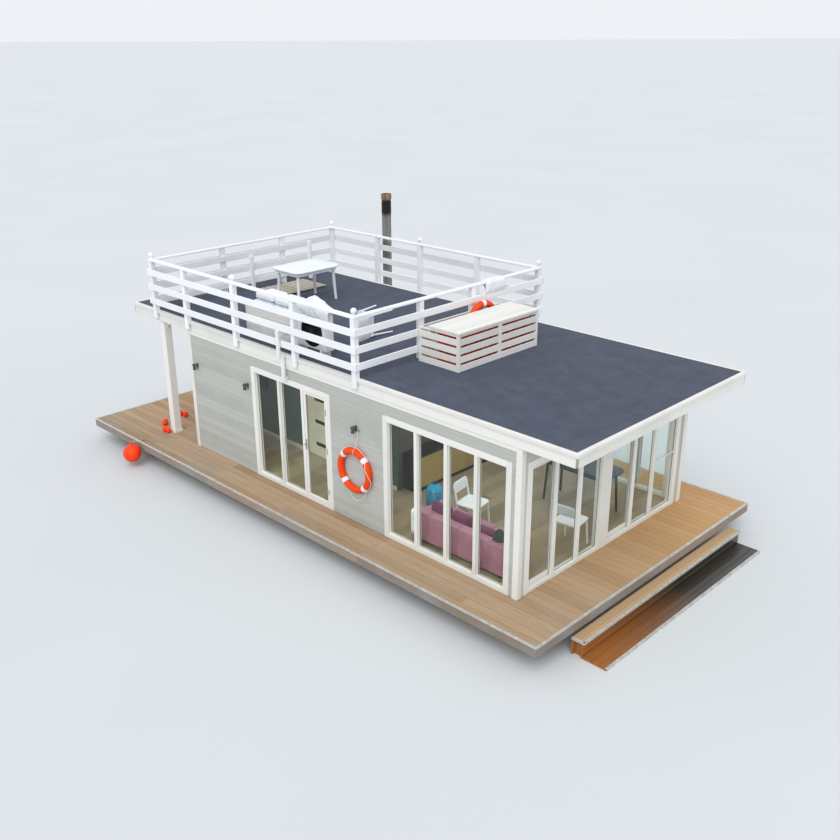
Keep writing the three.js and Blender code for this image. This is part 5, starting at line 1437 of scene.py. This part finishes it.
for k in range(4):
    c, s = math.cos(k * math.pi / 2 + 0.4), math.sin(k * math.pi / 2 + 0.4)
    blades.append(np.stack([x * c - z * s + FAN_MIDDLE[0], y * 0.5 - 1.780, x * s + z * c + FAN_MIDDLE[1]],
                           -1))
hub = turned([(0.020, -0.035), (0.040, -0.033), (0.047, -0.026), (0.048, 0.030), (0.040, 0.035)],
             [(FAN_MIDDLE[0], -1.783, FAN_MIDDLE[1])], 24, 1)
fan = build("aircon_fan_blades", black_coat, hub, np.array(blades), body="fan", slot="black_plastic",
            sharp=50)
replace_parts(fan, "aircon_fan")

# Roof locker: white tongued boards nailed round a frame, under a flat lid.
LOCKER_X, LOCKER_Y, LOCKER_TOP = (4.130, 5.300), (-1.860, -1.440), 2.960
row_z = np.linspace(TERRACE + 0.004, LOCKER_TOP - 0.022, 9)
locker_z = (row_z[:-1] + 0.0012, row_z[1:] - 0.0012)
inset = lambda span, d: (span[0] + d, span[1] - d)
locker = [boards(LOCKER_X, (y, y + 0.016), locker_z) for y in (LOCKER_Y[0], LOCKER_Y[1] - 0.016)]
locker += [boards((x, x + 0.016), inset(LOCKER_Y, 0.0163), locker_z)
           for x in (LOCKER_X[0], LOCKER_X[1] - 0.016)]
locker += [boards(inset(LOCKER_X, 0.017), inset(LOCKER_Y, 0.017), (TERRACE, LOCKER_TOP - 0.023)),
           boards(inset(LOCKER_X, -0.004), inset(LOCKER_Y, -0.004), (LOCKER_TOP - 0.0215, LOCKER_TOP))]
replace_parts(build("roof_locker_boards", white_paint, *locker), "roof_locker")

# Stored seat cushions: white covers over foam, lying two deep on the locker. A crumpled padded cover is
# heaped on the unit and hangs a little over its face.


def heap(x, over, under, rise, crease=0.013):
    """A bent soft pad along x. Its skin runs up the over path of (y, z) points and back down the under path.
    rise is the over path's height at even steps along x, as a share, and sharp slanting creases lie on it."""
    s, t = np.linspace(0, 1, 70)[:, None], np.linspace(0, 1, 36)
    over, under = np.array(over), np.array(under)
    walk = lambda path: [np.interp(t, np.linspace(0, 1, len(path)), path[:, k]) for k in (0, 1)]
    (y, z), (flat_y, flat_z) = walk(over), walk(under)
    grown = np.interp(s, np.linspace(0, 1, len(rise)), rise)
    base = under[:, 1].max()
    top = np.where(z > base, base + (z - base) * grown, z + 0 * s)
    fold = np.abs(np.sin(9 * s + 4.5 * t + 1.2 * np.sin(5 * t)))
    fold = fold + np.abs(np.sin(14 * s - 6 * t + 0.9 * np.sin(11 * s))) + 0.6 * np.abs(np.sin(23 * s + 9 * t))
    closing = np.clip(np.minimum(s, 1 - s) * 14, 0, 1) ** 0.5
    swell = closing * np.sin(math.pi * t) ** 0.35
    way_y, way_z = y - flat_y - 0.001, top - flat_z + 0.001
    size = np.hypot(way_y, way_z)
    push = swell * (size - crease * fold * np.minimum(1, size / 0.03)) / size
    outer = np.stack([flat_y + way_y * push, flat_z + way_z * push], -1)
    inner = np.broadcast_to(np.stack([flat_y, flat_z], -1)[::-1], outer.shape)
    loop = np.concatenate([outer, inner[:, 1:-1]], 1)
    along = x[0] + (x[1] - x[0]) * s + 0.012 * np.sin(3 * np.linspace(0, 2 * math.pi, loop.shape[1]))
    return np.concatenate([along[..., None], loop], -1)[None]


LOW_TOP = LOCKER_TOP + 0.0006
low_spots = [((4.352, 4.870), (-1.872, -1.484), (LOW_TOP, LOW_TOP + 0.140)),
             ((4.878, 5.388), (-1.876, -1.490), (LOW_TOP, LOW_TOP + 0.132)),
             ((4.400, 4.905), (-1.866, -1.486), (LOW_TOP + 0.137, LOW_TOP + 0.266)),
             ((4.915, 5.380), (-1.870, -1.488), (LOW_TOP + 0.128, LOW_TOP + 0.262))]
for k, (x, y, z) in enumerate(low_spots):
    pad = padding(x, y, z, 0.34, 0.04, 2, 0.28, 0.03)
    seat_pad = build(f"stored_cushion_{k}", white_cloth, pad, slot="white_cloth", sharp=80)
    if k == 0:
        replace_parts(seat_pad, "stored_cushions")
cover = heap((5.365, 6.270), [(-1.646, 3.199), (-1.640, 3.260), (-1.680, 3.330), (-1.760, 3.362),
                              (-1.830, 3.335), (-1.886, 3.250), (-1.902, 3.170), (-1.893, 3.110),
                              (-1.866, 3.075)],
             [(-1.646, 3.1975), (-1.700, 3.1975), (-1.760, 3.1975), (-1.820, 3.1975), (-1.860, 3.1975),
              (-1.8635, 3.170), (-1.8635, 3.120), (-1.8635, 3.076)],
              [0.60, 0.62, 0.58, 0.75, 1.10, 1.42, 1.25, 0.80, 0.55, 0.45])
build("heaped_cover", white_cloth, cover, slot="white_cloth", sharp=60)
# A crumpled white cover hangs over the front railing's cap, 0.2 m down its front. Its length lies along
# y, so the heap's first two axes change places.
folded = heap((0.690, 1.170), [(7.120, 3.345), (7.112, 3.405), (7.140, 3.446), (7.200, 3.464),
                               (7.262, 3.446), (7.300, 3.385), (7.308, 3.290), (7.300, 3.205)],
              [(7.1485, 3.345), (7.1485, 3.4015), (7.175, 3.4015), (7.200, 3.4015), (7.2515, 3.4015),
               (7.2515, 3.370), (7.2715, 3.250), (7.2715, 3.205)],
              [0.25, 0.42, 0.66, 0.58, 0.40, 0.46, 0.30], 0.005)
build("rail_cover", white_cloth, folded[:, :, ::-1][..., [1, 0, 2]], slot="white_cloth", sharp=60)

# Duckboard of weathered slats before the aft railing.
slat_y = 0.080 + 0.125 * np.arange(9)
bearer_x = np.array([1.945, 2.530])
duck = [boards((1.885, 2.640), (slat_y, slat_y + 0.100), (2.4615, 2.4793), 0.003),
        boards((bearer_x, bearer_x + 0.050), (0.080, 1.180), (TERRACE, 2.4613), 0.003)]
duck_timber = timber("weathered_pale_slats", "#bdb6a4", "#a49c8a", "#b5ae9c", grain=0.5, roughness=0.85,
                     patch=0.6)
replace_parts(build("duckboard_slats", duck_timber, *duck, slot="grey_timber"), "duckboard")

# Stove flue outside the port wall: twin-wall steel tube on a bracket. Heat has browned its cap and soot
# has blackened the collar below, and rain has streaked the rest.
flue_steel, tree = new_material("streaked_flue_steel")
where = object_place(tree)
level = add(tree, "ShaderNodeSeparateXYZ", {0: where}).outputs["Z"]
drawn = add(tree, "ShaderNodeMapping", {"Vector": where, "Scale": (26.0, 26.0, 0.8)}).outputs[0]
runs = noise(tree, drawn, 1.0, 5.0, 0.6)
streaky = ramp(tree, runs, 0.38, 0.62)
metal = blend(tree, streaky, "#8f8f8c", "#5c5a54")
wavering = times(tree, runs, 0.05)
uneven_level = add(tree, "ShaderNodeMath", {0: level, 1: wavering}, operation="ADD").outputs[0]
sooty = ramp(tree, uneven_level, 4.70, 4.80)
sooted = blend(tree, sooty, metal, "#171614")
rusty = ramp(tree, uneven_level, 5.035, 5.050)
browned = blend(tree, streaky, "#9a7b5c", "#6d4f38")
finished = blend(tree, rusty, sooted, browned)
shade(tree, {"Base Color": finished, "Metallic": 0.35, "Roughness": 0.5})
FLUE_X, FLUE_Y = 3.090, 2.440
flue_profile = [(0.088, 1.200), (0.092, 1.204), (0.092, 2.196), (0.094, 2.200), (0.094, 2.240),
                (0.092, 2.244), (0.092, 3.196), (0.094, 3.200), (0.094, 3.240), (0.092, 3.244),
                (0.092, 3.798), (0.097, 3.802), (0.097, 4.036), (0.092, 4.040), (0.092, 4.082),
                (0.104, 4.086), (0.104, 4.184), (0.100, 4.190), (0.082, 4.190), (0.080, 4.110)]
elbow_path = np.array([(FLUE_X, 2.1046, 1.350), (FLUE_X, 2.20, 1.350), (FLUE_X, 2.30, 1.3501),
                       (FLUE_X, FLUE_Y, 1.350)])
bracket = [boards((FLUE_X - 0.020, FLUE_X + 0.020), (2.1046, FLUE_Y - 0.090), (1.900, 1.930), 0.002),
           boards((FLUE_X - 0.060, FLUE_X + 0.060), (2.1043, 2.110), (1.840, 1.990), 0.001)]
clamp = ("ring", turned([(0.0925, 1.895), (0.0955, 1.895), (0.0955, 1.935), (0.0925, 1.935)],
                        [(FLUE_X, FLUE_Y, 0)], 32))
plate = turned([(0.120, -0.001), (0.120, 0.003), (0.110, 0.006), (0.070, 0.006)], [(FLUE_X, 2.1050, 1.350)],
               32, 1)
flue_grids = [turned(flue_profile, [(FLUE_X, FLUE_Y, 0)], 40), tubes([elbow_path], 0.078, 28), *bracket,
              clamp, plate]
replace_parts(build("flue_tube", flue_steel, *flue_grids, slot="stainless_steel", sharp=40), "flue")

# Ball fenders: inflated orange vinyl with a moulded eye, each hung from a cleat by a short white lanyard.
vinyl, tree = new_material("orange_fender_vinyl")
where = object_place(tree)
low = add(tree, "ShaderNodeSeparateXYZ", {0: where}).outputs["Z"]
grimy = noise(tree, where, 12.0, 5.0)
wetness = ramp(tree, low, 0.60, 0.72, low=0.8, high=0.0)
soiled = times(tree, wetness, grimy)
skin_colour = blend(tree, soiled, "#ff4302", "#8a3a1c")
shade(tree, {"Base Color": skin_colour, "Roughness": 0.5, "Specular IOR Level": 0.3})
FENDER = 0.168
for side, word in ((-1, "starboard"), (1, "port")):
    place = np.array([1.690, side * 2.972, -0.190])
    climb = np.linspace(-1.5, 1.36, 24)
    eye = [(0.030, 0.170), (0.022, 0.185), (0.018, 0.215), (0.020, 0.232), (0.012, 0.245)]
    ball = [(FENDER * math.cos(a), FENDER * math.sin(a)) for a in climb] + eye
    fender = build(f"fender_{word}_ball", vinyl, turned(ball, [place], 36), slot="orange_plastic", sharp=50)
    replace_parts(fender, f"fender_{word}")
    lanyard = [place + (0, 0, 0.236), place + (0, -side * 0.060, 0.232), place + (0, -side * 0.150, 0.205),
               (1.690, side * 2.760, 0.012), (1.690, side * 2.735, 0.010)]
    build(f"fender_{word}_lanyard", white_rope, bent(lanyard, 5, 0.0045, 8), slot="white_rope", sharp=80)
    cleat_y = side * 2.735
    horns = [(1.620, cleat_y, 0.030), (1.655, cleat_y, 0.026), (1.690, side * 2.7351, 0.024),
             (1.725, cleat_y, 0.026), (1.760, cleat_y, 0.030)]
    stem = boards((1.670, 1.710), (cleat_y - 0.012, cleat_y + 0.012), (0.0003, 0.024), 0.003)
    build(f"fender_{word}_cleat", dull_steel, bent(horns, 4, 0.007, 10), stem, slot="stainless_steel")
# Small orange net floats that lie about the foot of the starboard porch post.
float_spots = [(1.270, -1.970), (1.330, -2.020), (1.620, -2.190), (1.720, -2.180), (1.110, -1.510),
               (1.225, -1.470)]
pods = turned([(0.008, -0.054), (0.030, -0.049), (0.047, -0.030), (0.054, 0.0), (0.047, 0.030),
               (0.030, 0.049), (0.008, 0.054)],
              [(x, y, 0.0555) for x, y in float_spots], 18)
build("deck_floats", vinyl, pods, slot="orange_plastic", sharp=60)
